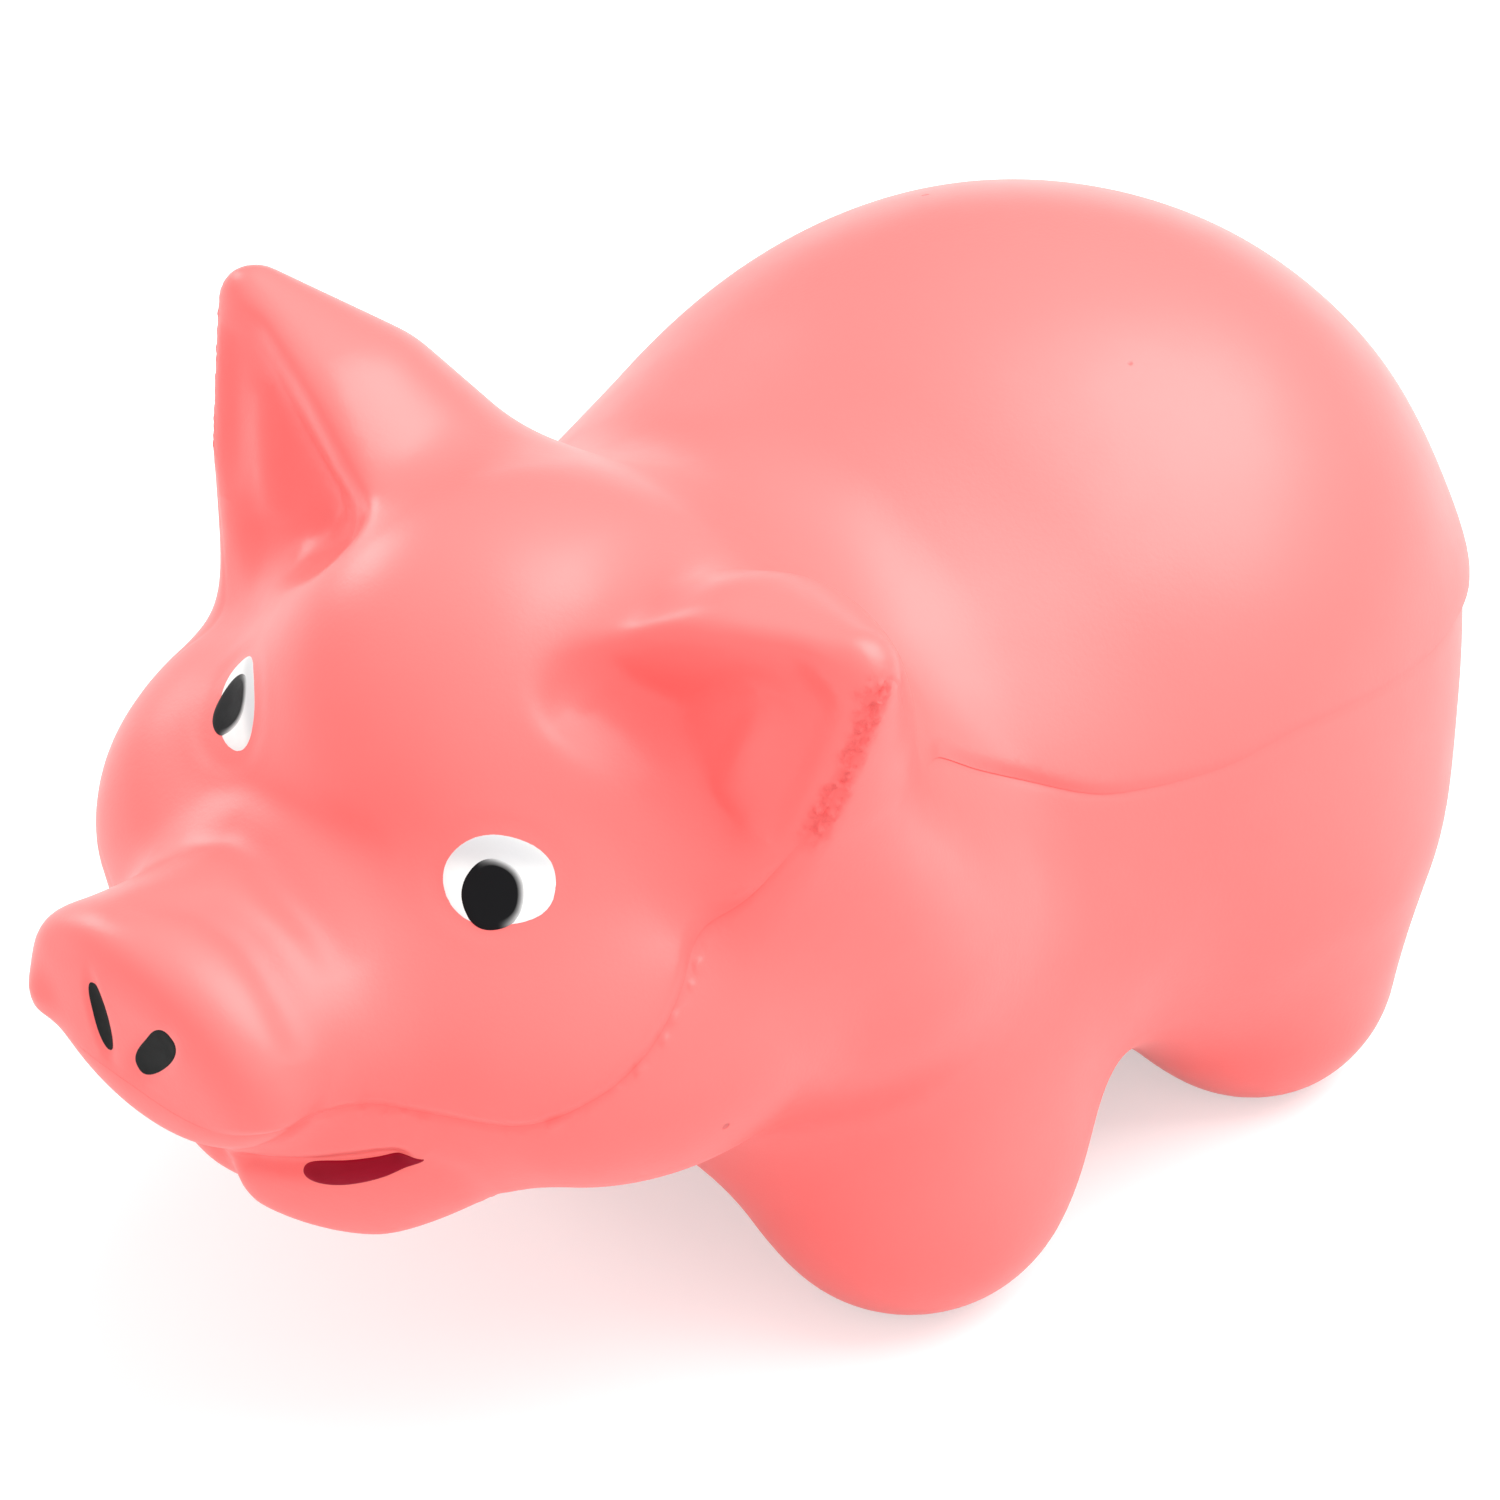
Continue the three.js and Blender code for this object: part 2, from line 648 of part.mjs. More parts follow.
// Coat halves and core

function partingBlock(lift) {
  return blockBelow((x, y) => partingHeight(x, y) + lift, PARTING_CELL);
}

function floorBlock(height) {
  return blockBelow(() => height, bounds.getSize(point(0, 0, 0)).y);
}

// Trims off the slivers of flash that the parting cut leaves
function trimmed(solid) {
  return solid.decompose().reduce((a, b) => (a.volume() > b.volume() ? a : b));
}

const floor = floorBlock(0);
const coreMesh = levelMesh(trunk, -SKIN - FIT_GAP, gridLines(CORE_CELL, CORE_CELL));
const insideMesh = movedTo(trunk, -SKIN, coreMesh);
const inside = solidFrom(insideMesh).subtract(floorBlock(SKIN));
const coreSolid = solidFrom(coreMesh).subtract(floorBlock(SKIN + FIT_GAP));
const lowerMesh = withEvenRims(levelMesh(wholePig, 0, gridLines(COAT_CELL, FINE_CELL)));
const upperMesh = movedTo(wholePig, SEAM_STEP, lowerMesh);
const upperSolid = solidFrom(upperMesh)
  .subtract(floor)
  .subtract(inside)
  .subtract(partingBlock(FIT_GAP / 2));
const lowerSolid = solidFrom(lowerMesh)
  .subtract(floor)
  .subtract(inside)
  .intersect(partingBlock(-FIT_GAP / 2));

// Paint: a thin round patch, laid over the coat at a given lift

function paintPatch(place, lift) {
  const positions = [];
  const lowSide = [];
  const highSide = [];
  for (let ring = 0; ring <= PAINT_RINGS; ring += 1) {
    for (let step = 0; step < (ring ? PAINT_STEPS : 1); step += 1) {
      const angle = (2 * Math.PI * step) / PAINT_STEPS;
      const share = ring / PAINT_RINGS;
      const start = place(share * Math.cos(angle), share * Math.sin(angle));
      const low = settle(wholePig, start, lift);
      lowSide.push(low);
      highSide.push(settle(wholePig, low, lift + PAINT));
    }
  }
  [...lowSide, ...highSide].forEach((p) => positions.push(...p.toArray()));
  const high = lowSide.length;
  const vertex = (ring, step) => (ring ? 1 + (ring - 1) * PAINT_STEPS + (step % PAINT_STEPS) : 0);
  const triangles = [];
  for (let step = 0; step < PAINT_STEPS; step += 1) {
    triangles.push(vertex(0, 0) + high, vertex(1, step) + high, vertex(1, step + 1) + high);
    triangles.push(vertex(0, 0), vertex(1, step + 1), vertex(1, step));
    for (let ring = 1; ring < PAINT_RINGS; ring += 1) {
      const [a, b] = [vertex(ring, step), vertex(ring, step + 1)];
      const [c, d] = [vertex(ring + 1, step), vertex(ring + 1, step + 1)];
      triangles.push(a + high, c + high, d + high, a + high, d + high, b + high);
      triangles.push(a, d, c, a, b, d);
    }
    const [a, b] = [vertex(PAINT_RINGS, step), vertex(PAINT_RINGS, step + 1)];
    triangles.push(a, b, b + high, a, b + high, a + high);
  }
  return toGeometry(positions, triangles);
}

// First point of the surface that is met from the front
function frontPoint(x, z) {
  const p = point(x, bounds.min.y, z);
  for (let step = 0; step < MARCH_STEPS; step += 1) p.y += MARCH_SHARE * wholePig(p);
  return p;
}

// Oval on the coat, seen square on: half sizes, with its top leaned outwards
function ovalOn(centre, halfWidth, halfHeight, lean = 0) {
  const facing = slope(wholePig, centre).normalize();
  const right = point(0, 0, 1).cross(facing).normalize();
  const up = facing.clone().cross(right);
  right.applyAxisAngle(facing, -lean);
  up.applyAxisAngle(facing, -lean);
  return (a, b) => centre.clone()
    .addScaledVector(right, a * halfWidth)
    .addScaledVector(up, b * halfHeight);
}

const upperLift = SEAM_STEP + PAINT_GAP;
const pupilLift = upperLift + PAINT + PAINT_GAP;
const eyePoint = frontPoint(EYE_ASIDE, head.z + EYE_RISE);
const pupilPoint = frontPoint(EYE_ASIDE, head.z + EYE_RISE - PUPIL_DROP);
const nostrilPoint = frontPoint(NOSTRIL_ASIDE, noseZ + NOSTRIL_RISE);
const nostrilLean = THREE.MathUtils.degToRad(NOSTRIL_LEAN);

const eyeWhite = paintPatch(ovalOn(eyePoint, EYE_HALF_WIDTH, EYE_HALF_HEIGHT), upperLift);
const pupil = paintPatch(ovalOn(pupilPoint, PUPIL_RADIUS, PUPIL_RADIUS), pupilLift);
const nostril = paintPatch(
  ovalOn(nostrilPoint, NOSTRIL_HALF_WIDTH, NOSTRIL_HALF_HEIGHT, nostrilLean),
  upperLift,
);

function mouthPlace(a, b) {
  const middle = jawCentre.z + MOUTH_RISE + MOUTH_SMILE * a;
  return frontPoint(MOUTH_ASIDE + a * MOUTH_HALF_LENGTH, middle + b * MOUTH_HALF_HEIGHT);
}

const mouth = paintPatch(mouthPlace, CREASE_GAP);

function mirrored(geometry) {
  const copy = geometry.clone();
  copy.scale(-1, 1, 1);
  const index = copy.index.array;
  for (let corner = 0; corner < index.length; corner += 3) {
    [index[corner], index[corner + 1]] = [index[corner + 1], index[corner]];
  }
  copy.computeVertexNormals();
  return copy;
}

// Nodes

const finish = (color, roughness) => new THREE.MeshStandardMaterial({ color, roughness, metalness: 0 });
const coat = finish(PINK, SATIN);
const foam = finish(FOAM, MATT);
const whitePaint = finish(WHITE, SATIN);
const blackPaint = finish(BLACK, SATIN);
const redPaint = finish(DARK_RED, SATIN);

const pig = new THREE.Group();

function addNode(name, geometry, material) {
  const mesh = new THREE.Mesh(geometry, material);
  mesh.name = name;
  pig.add(mesh);
}

function addPair(name, geometry, material) {
  addNode(`left_${name}`, geometry, material);
  addNode(`right_${name}`, mirrored(geometry), material);
}

addNode('foam_core', geometryOf(coreSolid), foam);
addNode('upper_skin', geometryOf(trimmed(upperSolid)), coat);
addNode('lower_skin', geometryOf(trimmed(lowerSolid)), coat);
addPair('eye_white', eyeWhite, whitePaint);
addPair('pupil', pupil, blackPaint);
addPair('nostril', nostril, blackPaint);
addPair('mouth', mouth, redPaint);

// The origin lies under the middle of the pig's length
const box = new THREE.Box3().setFromObject(pig);
pig.position.y = -(box.min.y + box.max.y) / 2;

export default pig;
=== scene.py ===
"""Squeezy foam pig: its coat, foam core and painted face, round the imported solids."""

import math
from collections import namedtuple

import bpy
import numpy as np
from bpy.props import FloatProperty, FloatVectorProperty, PointerProperty
from mathutils import Matrix, Vector


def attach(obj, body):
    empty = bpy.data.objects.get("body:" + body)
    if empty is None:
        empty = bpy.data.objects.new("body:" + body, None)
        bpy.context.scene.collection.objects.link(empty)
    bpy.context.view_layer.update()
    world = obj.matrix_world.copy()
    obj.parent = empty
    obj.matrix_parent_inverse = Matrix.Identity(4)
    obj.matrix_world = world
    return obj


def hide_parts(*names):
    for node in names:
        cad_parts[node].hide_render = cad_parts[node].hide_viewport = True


bl_info = {
    "name": "Squeezy Foam Pig",
    "version": (1, 0, 0),
    "blender": (4, 5, 0),
    "location": "View3D > Sidebar > Pig",
    "description": "Models a moulded foam pig with a painted face",
    "category": "Object",
}

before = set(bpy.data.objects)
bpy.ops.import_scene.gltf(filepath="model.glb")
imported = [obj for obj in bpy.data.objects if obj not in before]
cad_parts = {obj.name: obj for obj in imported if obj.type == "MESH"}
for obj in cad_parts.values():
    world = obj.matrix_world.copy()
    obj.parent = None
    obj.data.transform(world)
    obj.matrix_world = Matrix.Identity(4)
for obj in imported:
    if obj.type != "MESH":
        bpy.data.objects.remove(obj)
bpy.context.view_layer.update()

MM = 0.001
TINY = 1e-9
ROOT = "root"

# Fineness of the surfaces
VOXEL = 1.05 * MM
CORE_VOXEL = 1.8 * MM
BALL_FINENESS = 4
OVAL_FINENESS = 5
RELAX_ROUNDS = 3
DETAIL_CUTS = 2
FINE_REACH = 1.8 * MM
SMOOTH_ANGLE = math.radians(40)

# The search for a surface
SLOPE_STEP = 0.01 * MM
STRIDE = 0.6 * MM
LEAST_SLOPE = 0.1
LEAST_SEAM_SLOPE = 0.05


# Properties

def length(name, note, value):
    return FloatProperty(name=name, description=note, default=value * MM, subtype="DISTANCE",
                         unit="LENGTH", precision=5)


def place(name, note, *value):
    return FloatVectorProperty(name=name, description=note, default=[v * MM for v in value],
                               subtype="TRANSLATION", unit="LENGTH", size=3, precision=5)


def half_sizes(name, *value):
    return place(name, "Half width, length and height", *value)


def turning(name, note, degrees):
    return FloatProperty(name=name, description=note, default=math.radians(degrees), subtype="ANGLE")


def colour(name, note, *value):
    return FloatVectorProperty(name=name, description=note, default=value, subtype="COLOR",
                               size=3, min=0.0, max=1.0)


class PigBody(bpy.types.PropertyGroup):
    """Sizes of the trunk and legs"""

    barrel: place("Barrel", "Centre of the barrel", 0, 17.65, 24.6)
    barrel_radii: half_sizes("Barrel radii", 28.6, 29.9, 23)
    barrel_pitch: turning("Barrel pitch", "Nose end down", 4.8)
    rump: place("Rump", "Centre of the rump", 0, 27.35, 28)
    rump_radii: half_sizes("Rump radii", 24.9, 22, 21.4)
    chest: place("Chest", "Centre of the chest", 0, -1.95, 23.2)
    chest_radii: half_sizes("Chest radii", 23.8, 20.1, 18.6)
    blend: length("Body blend", "Reach of the blend between the body's forms", 10)
    belly: length("Belly", "Height of the belly above the ground", 6.5)
    belly_round: length("Belly round", "Reach of the belly's rounding", 8)
    front_hip: place("Front hip", "Top of a front leg", 12.7, -4.35, 17.9)
    front_hip_radius: length("Front hip radius", "Radius at its top", 10.9)
    front_foot: place("Front foot", "Middle of a front foot", 18.1, -4.75, 8.9)
    front_foot_radius: length("Front foot radius", "Radius of a front foot", 10.4)
    rear_hip: place("Rear hip", "Top of a rear leg", 16.8, 24.95, 15.8)
    rear_hip_radius: length("Rear hip radius", "Radius at its top", 12.4)
    rear_foot: place("Rear foot", "Middle of a rear foot", 20.2, 24.25, 7.6)
    rear_foot_radius: length("Rear foot radius", "Radius of a rear foot", 9.1)
    leg_blend: length("Leg blend", "Reach of the blend between leg and body", 8)
    sole_round: length("Sole round", "Reach of the rounding round a sole", 1.6)


class PigHead(bpy.types.PropertyGroup):
    """Sizes of the head, snout and jaw"""

    forehead: place("Forehead", "Centre of the forehead", 0, -19.55, 40.2)
    forehead_radii: half_sizes("Forehead radii", 15.5, 14.8, 15.6)
    neck: place("Neck", "Centre of the neck", 0, -13.35, 35.6)
    neck_radii: half_sizes("Neck radii", 20.5, 15, 16.1)
    cheek: place("Cheek", "Centre of a cheek", 12.8, -22.05, 31.1)
    cheek_radii: half_sizes("Cheek radii", 12.6, 16.6, 11.2)
    blend: length("Head blend", "Reach of the blend between the head's forms", 6)
    neck_blend: length("Neck blend", "Reach of the blend between head and body", 8)
    snout_root: place("Snout root", "Where the snout starts", 0, -28.15, 33)
    snout_root_radius: length("Snout root radius", "Half height of its root", 6.2)
    nose: place("Nose", "End of the snout", 0, -49.35, 34.6)
    nose_radius: length("Nose radius", "Half height of the nose", 6.9)
    nose_flat: length("Nose flat", "Place of the nose's flat along the pig", -50.15)
    nose_round: length("Nose round", "Reach of the rounding round the nose's flat", 4)
    snout_widening: FloatProperty(name="Snout widening", description="Width over height",
                                  default=1.48)
    snout_blend: length("Snout blend", "Reach of the blend between snout and head", 6)
    jaw: place("Jaw", "Centre of the jaw", 0, -34.55, 26.2)
    jaw_radii: half_sizes("Jaw radii", 14.5, 10.6, 10.5)
    jaw_blend: length("Jaw blend", "Reach of the blend between jaw and snout", 4)


class PigEars(bpy.types.PropertyGroup):
    """Sizes of the ears, which are mirrored"""

    tip: place("Tip", "Centre of the ball at the tip", 25.2, -16.15, 56.5)
    tip_radius: length("Tip radius", "Radius at the tip", 2.6)
    middle: place("Middle", "Centre of the ball halfway", 18.2, -16.75, 49.3)
    middle_radius: length("Middle radius", "Radius halfway", 8.65)
    root: place("Root", "Centre of the ball in the head", 11.65, -16.55, 40.95)
    root_radius: length("Root radius", "Radius in the head", 12.55)
    blend: length("Ear blend", "Reach of the blend between ear and head", 3)
    turn: turning("Turn", "The face's turn away from straight ahead", 11.4)
    tilt: turning("Tilt", "The face's tilt upwards", 12.4)
    face: length("Face", "From the tip's centre to the flat face", 2.2)
    rim: length("Rim", "Reach of the rounding at the face's rim", 1.6)
    hollow_brow: place("Hollow at the brow", "Corner across, up and out", -14.8, -5.4, 1.5)
    hollow_tip: place("Hollow at the tip", "Corner across, up and out", -3.2, -1.6, 1.5)
    hollow_cheek: place("Hollow at the cheek", "Corner across, up and out", -7, -10.6, 1.5)
    hollow_floor: place("Hollow floor", "Deepest corner across, up and out", -11.3, -6.8, -0.4)
    hollow_round: length("Hollow round", "Radius of the tool that cuts the hollow", 2)
    hollow_blend: length("Hollow blend", "Reach of the rounding at the hollow's edge", 2.4)
    web_top: place("Web top", "Top of the web behind the ear", 22.2, -15.35, 47.5)
    web_top_radius: length("Web top radius", "Radius at its top", 3.2)
    web_foot: place("Web foot", "Foot of the web on the shoulder", 18.7, -9.25, 30)
    web_foot_radius: length("Web foot radius", "Radius at its foot", 8.1)
    web_blend: length("Web blend", "Reach of the blend between web and body", 6)


class PigFace(bpy.types.PropertyGroup):
    """Sizes of what is moulded on the face and the rump"""

    eye: place("Eye", "Middle of an eye", 11.3, -31.2, 42.45)
    eye_width: length("Eye width", "Half width of the moulded eye", 3.4)
    eye_height: length("Eye height", "Half height of the moulded eye", 2.75)
    eye_bulge: length("Eye bulge", "How far the eye bulges", 0.14)
    eye_ring: length("Eye ring", "Height of the ring round an eye", 0.035)
    wrinkle: length("Wrinkle", "Depth of the wrinkles on the snout", 0.62)
    wrinkle_width: length("Wrinkle width", "Reach of a wrinkle to its sides", 1.5)
    nostril_pit: length("Nostril pit", "Depth of the nostrils", 0.35)
    mouth_depth: length("Mouth depth", "Depth of the mouth", 0.9)
    mouth_width: length("Mouth width", "Reach of the mouth to its sides", 0.75)
    lip_depth: length("Lip depth", "Depth of the hollow under the lip", 0.3)
    lip_width: length("Lip width", "Reach of that hollow to its sides", 1.9)
    lip_middle: length("Lip middle", "How much deeper that hollow is at its middle", 0.45)
    chin: length("Chin", "How far the chin swells", 0.6)
    chin_cleft: length("Chin cleft", "Depth of the cleft in the chin", 0.6)
    chin_crease: length("Chin crease", "Depth of the crease beside the chin", 0.3)
    nose_rim: length("Nose rim", "How far the sides of the nose swell", 0.6)
    nose_flash: length("Nose flash", "Height of the bit of flash beside the nose", 0.7)
    ear_ridge: length("Ear ridge", "Height of the ridge in an ear", 0.85)
    ear_crease: length("Ear crease", "Depth of the creases in an ear", 0.45)
    tail: length("Tail", "Height of the tail curled on the rump", 0.9)
    tail_width: length("Tail width", "Reach of the tail to its sides", 0.8)
    unevenness: length("Unevenness", "Slow swells of the moulded coat", 0.07)


class PigCoat(bpy.types.PropertyGroup):
    """Sizes and colours of the coat, the foam and the paint"""

    skin: length("Skin", "Thickness of the coat with the dense foam on it", 1.2)
    core_gap: length("Core gap", "Between the coat and the core", 0.3)
    flank_step: length("Flank step", "How far the upper half stands out on the flank", 0.5)
    rump_step: length("Rump step", "How far the upper half flares out at the rump", 0.6)
    step_bevel: length("Step bevel", "Width of the bevel at that step", 0.8)
    lip_step: length("Lip step", "How far the upper half is set back at the lip", 0.08)
    seam_groove: length("Seam groove", "Depth of the groove along the parting line", 0.07)
    seam_width: length("Seam width", "Reach of that groove to its sides", 0.35)
    flash: length("Flash", "Height of the bits of flash left on the cheeks", 0.16)
    torn: length("Torn", "Depth of the torn foam along the rim of an ear", 0.24)
    torn_width: length("Torn width", "Reach of the torn foam to its sides", 0.85)
    paint: length("Paint", "How far the paint stands on the coat", 0.05)
    film: length("Film", "Thickness of the paint with what soaked in", 0.12)
    pink: colour("Pink", "Coat", 0.98, 0.166, 0.157)
    # Deep pink: the tone of the coat's random clouds, and painted shade in folds, nostril pits, along
    # the seam, in the ear hollows and in the cells of the open foam
    shade_and_cloud_pink: colour("Deep pink", "Coat in folds and along the seam", 0.96, 0.125, 0.12)
    torn_pink: colour("Torn pink", "Torn foam along the rim of an ear", 0.92, 0.13, 0.125)
    # Painted shade in the open pores of the torn foam
    pore_shade_pink: colour("Pore pink", "Open pores of the torn foam", 0.80, 0.08, 0.08)
    # Painted shade in the pinholes
    speck: colour("Speck", "Pinholes in the coat", 0.50, 0.05, 0.055)
    foam: colour("Foam", "Foam under the coat", 0.98, 0.26, 0.24)
    white: colour("White", "Paint of the eyes", 0.86, 0.86, 0.85)
    # Painted shade: the eye paint greyer at its top, under the brow
    shaded_white: colour("Thin white", "Paint of the eyes at their top", 0.64, 0.64, 0.65)
    black: colour("Black", "Paint of the pupils", 0.004, 0.004, 0.005)
    thin_black: colour("Thin black", "Paint of the pupils at their rim", 0.70, 0.70, 0.70)
    nostril_black: colour("Nostril black", "Paint of the nostrils", 0.013, 0.014, 0.014)
    red: colour("Red", "Paint of the mouth", 0.30, 0.0, 0.016)
    thin_red: colour("Thin red", "Paint of the mouth at its rim", 0.36, 0.0, 0.02)


GROUPS = {
    "pig_body": PigBody,
    "pig_head": PigHead,
    "pig_ears": PigEars,
    "pig_face": PigFace,
    "pig_coat": PigCoat,
}

# Parting line: (y, z) in mm, on the outside of the pig and on the head inside the ears
SEAM_FRONT = (
    (-60, 31.8), (-50.1, 31.8), (-49, 32.4), (-46, 32.1), (-43.6, 31.6), (-41.7, 31.8),
    (-39.6, 31.4), (-37.8, 31.4), (-34, 33.3), (-31, 35.2), (-28.3, 37.2), (-25.4, 39.4),
)
SEAM_REAR = (
    (-4.3, 40.5), (-1.2, 38), (2, 36), (5.4, 34.3), (8.5, 33.6), (13.2, 33.1), (19.3, 33.2),
    (26.4, 32.2), (34, 30.7), (40.5, 29.6), (60, 28.6),
)
SEAM_OUTSIDE = SEAM_FRONT + (
    (-22.8, 41.9), (-21.2, 45), (-19.4, 49.3), (-17.8, 53.7), (-17.2, 55.6), (-16.4, 57.3),
    (-15.6, 57), (-14.3, 54.2), (-12.4, 50.2), (-9.5, 45.4), (-6.5, 42.3),
) + SEAM_REAR
SEAM_INSIDE = SEAM_FRONT + ((-20, 42.3), (-12, 43), (-6.5, 41.9)) + SEAM_REAR
SEAM_EAR_REACH = 4 * MM


# Distance forms: how far points lie outside a simple body, negative inside it

def row_norm(rows):
    return np.sqrt(np.einsum("ij,ij->i", rows, rows))


def smooth_min(a, b, blend):
    overlap = np.maximum(blend - np.abs(a - b), 0) / blend
    return np.minimum(a, b) - overlap * overlap * blend / 4


def smooth_max(a, b, blend):
    return -smooth_min(-a, -b, blend)


def ellipsoid(points, centre, radii, axes=None):
    offset = points - np.array(centre)
    if axes is not None:
        offset = offset @ axes.T
    scaled = offset / np.array(radii)
    reach = row_norm(scaled)
    slope = row_norm(scaled / np.array(radii))
    return reach * (reach - 1) / np.maximum(slope, TINY)


def tapered_tube(points, start, end, start_radius, end_radius):
    start = np.array(start)
    axis = np.array(end) - start
    span = np.linalg.norm(axis)
    axis /= span
    sine = (start_radius - end_radius) / span
    cosine = math.sqrt(1 - sine * sine)
    offset = points - start
    along = offset @ axis
    aside = row_norm(offset - along[:, None] * axis)
    side = cosine * along - sine * aside
    wall = cosine * aside + sine * along - start_radius
    first = np.hypot(aside, along) - start_radius
    last = np.hypot(aside, along - span) - end_radius
    return np.where(side < 0, first, np.where(side > cosine * span, last, wall))


def segment_distance(points, a, b):
    edge = b - a
    share = np.clip((points - a) @ edge / (edge @ edge), 0, 1)
    return row_norm(points - a - share[:, None] * edge)


def face_distance(points, corners, normal):
    away = np.abs((points - corners[0]) @ normal)
    over_face = np.ones(len(points), bool)
    rim = np.full(len(points), np.inf)
    middle = sum(corners) / len(corners)
    for a, b in zip(corners, corners[1:] + corners[:1]):
        outward = np.cross(b - a, normal)
        if outward @ (middle - a) > 0:
            outward = -outward
        over_face &= (points - a) @ outward <= 0
        rim = np.minimum(rim, segment_distance(points, a, b))
    return np.where(over_face, away, rim)


def rounded_wedge(points, corners, radius):
    corners = [np.array(corner) for corner in corners]
    middle = sum(corners) / len(corners)
    depth = np.full(len(points), -np.inf)
    away = np.full(len(points), np.inf)
    for left in range(len(corners)):
        face = corners[:left] + corners[left + 1:]
        normal = np.cross(face[1] - face[0], face[2] - face[0])
        normal /= np.linalg.norm(normal)
        if normal @ (middle - face[0]) > 0:
            normal = -normal
        depth = np.maximum(depth, (points - face[0]) @ normal)
        away = np.minimum(away, face_distance(points, face, normal))
    return np.where(depth < 0, depth, away) - radius


MIDLINE_SOFTNESS = 1 * MM
HOLLOW_REACH = 18 * MM
# Reach of the painted shade in the hollow of an ear
HOLLOW_SHADE_REACH = 1.3 * MM


def folded(points):
    both = points.copy()
    both[:, 0] = np.hypot(points[:, 0], MIDLINE_SOFTNESS)
    return both


def ear_axes(ears):
    """A point of the ear's flat face, and its directions across, up and out"""
    out = np.array((math.sin(ears.turn) * math.cos(ears.tilt),
                    -math.cos(ears.turn) * math.cos(ears.tilt), math.sin(ears.tilt)))
    across = np.cross((0, 0, 1), out)
    across /= np.linalg.norm(across)
    return np.array(ears.tip) + ears.face * out, np.array((across, np.cross(out, across), out))


def ear_form(both, ears):
    foot, axes = ear_axes(ears)
    upper = tapered_tube(both, ears.tip, ears.middle, ears.tip_radius, ears.middle_radius)
    lower = tapered_tube(both, ears.middle, ears.root, ears.middle_radius, ears.root_radius)
    return smooth_max(np.minimum(upper, lower), (both - foot) @ axes[2], ears.rim)


def trunk_form(points, scene):
    body, head, ears = scene.pig_body, scene.pig_head, scene.pig_ears
    both = folded(points)
    c, s = math.cos(body.barrel_pitch), math.sin(body.barrel_pitch)
    pitch = np.array(((1, 0, 0), (0, c, s), (0, -s, c)))
    form = ellipsoid(points, body.barrel, body.barrel_radii, pitch)
    form = smooth_min(form, ellipsoid(points, body.rump, body.rump_radii), body.blend)
    form = smooth_min(form, ellipsoid(points, body.chest, body.chest_radii), body.blend)
    form = smooth_max(form, body.belly - points[:, 2], body.belly_round)
    front = tapered_tube(both, body.front_hip, body.front_foot,
                         body.front_hip_radius, body.front_foot_radius)
    rear = tapered_tube(both, body.rear_hip, body.rear_foot,
                        body.rear_hip_radius, body.rear_foot_radius)
    form = smooth_min(form, front, body.leg_blend)
    form = smooth_min(form, rear, body.leg_blend)
    face = smooth_min(ellipsoid(points, head.neck, head.neck_radii),
                      ellipsoid(both, head.cheek, head.cheek_radii), head.blend)
    face = smooth_min(face, ellipsoid(points, head.forehead, head.forehead_radii), head.blend)
    narrowed = points / np.array((head.snout_widening, 1, 1))
    snout = tapered_tube(narrowed, head.snout_root, head.nose,
                         head.snout_root_radius, head.nose_radius)
    snout = smooth_max(snout, head.nose_flat - points[:, 1], head.nose_round)
    face = smooth_min(face, snout, head.snout_blend)
    face = smooth_min(face, ellipsoid(points, head.jaw, head.jaw_radii), head.jaw_blend)
    form = smooth_min(form, face, head.neck_blend)
    return smooth_max(form, -ear_hollow(both, ears), ears.hollow_blend)


def trunk_field(points, scene):
    return smooth_max(trunk_form(points, scene), -points[:, 2], scene.pig_body.sole_round)


def ear_hollow(both, ears):
    foot, axes = ear_axes(ears)
    corners = (ears.hollow_brow, ears.hollow_tip, ears.hollow_cheek, ears.hollow_floor)
    corners = [foot + np.array(corner) @ axes for corner in corners]
    nearby = row_norm(both - sum(corners) / len(corners)) < HOLLOW_REACH
    away = np.full(len(both), HOLLOW_REACH)
    if nearby.any():
        away[nearby] = rounded_wedge(both[nearby], corners, ears.hollow_round)
    return away


def pig_field(points, scene):
    ears = scene.pig_ears
    both = folded(points)
    web = tapered_tube(both, ears.web_top, ears.web_foot, ears.web_top_radius, ears.web_foot_radius)
    form = smooth_min(trunk_form(points, scene), web, ears.web_blend)
    form = smooth_min(form, ear_form(both, ears), ears.blend)
    form = smooth_max(form, -ear_hollow(both, ears), ears.hollow_blend)
    return smooth_max(form, -points[:, 2], scene.pig_body.sole_round)


def slope_of(field, points, scene):
    rise = np.empty_like(points)
    for axis in range(3):
        step = np.zeros(3)
        step[axis] = SLOPE_STEP
        rise[:, axis] = field(points + step, scene) - field(points - step, scene)
    return rise / (2 * SLOPE_STEP)


def settle(field, points, scene, level=0.0, steps=6):
    """Moves points along the slope until the field there equals the level"""
    settled = points.copy()
    for _ in range(steps):
        rise = slope_of(field, settled, scene)
        steep = np.maximum(row_norm(rise), LEAST_SLOPE)
        stride = np.clip((level - field(settled, scene)) / steep, -STRIDE, STRIDE)
        settled += rise * (stride / steep)[:, None]
    return settled


def normals_of(field, points, scene):
    rise = slope_of(field, points, scene)
    return rise / np.maximum(row_norm(rise), TINY)[:, None]


# Parting line of the mould

def smooth_line(stations, at):
    y, z = (np.array(column) * MM for column in zip(*stations))
    lean = np.gradient(z, y)
    step = np.clip(np.searchsorted(y, at) - 1, 0, len(y) - 2)
    width = y[step + 1] - y[step]
    t = np.clip((at - y[step]) / width, 0, 1)
    start = z[step] * (1 + 2 * t) * (1 - t) ** 2 + width * lean[step] * t * (1 - t) ** 2
    end = z[step + 1] * t * t * (3 - 2 * t) + width * lean[step + 1] * t * t * (t - 1)
    return start + end


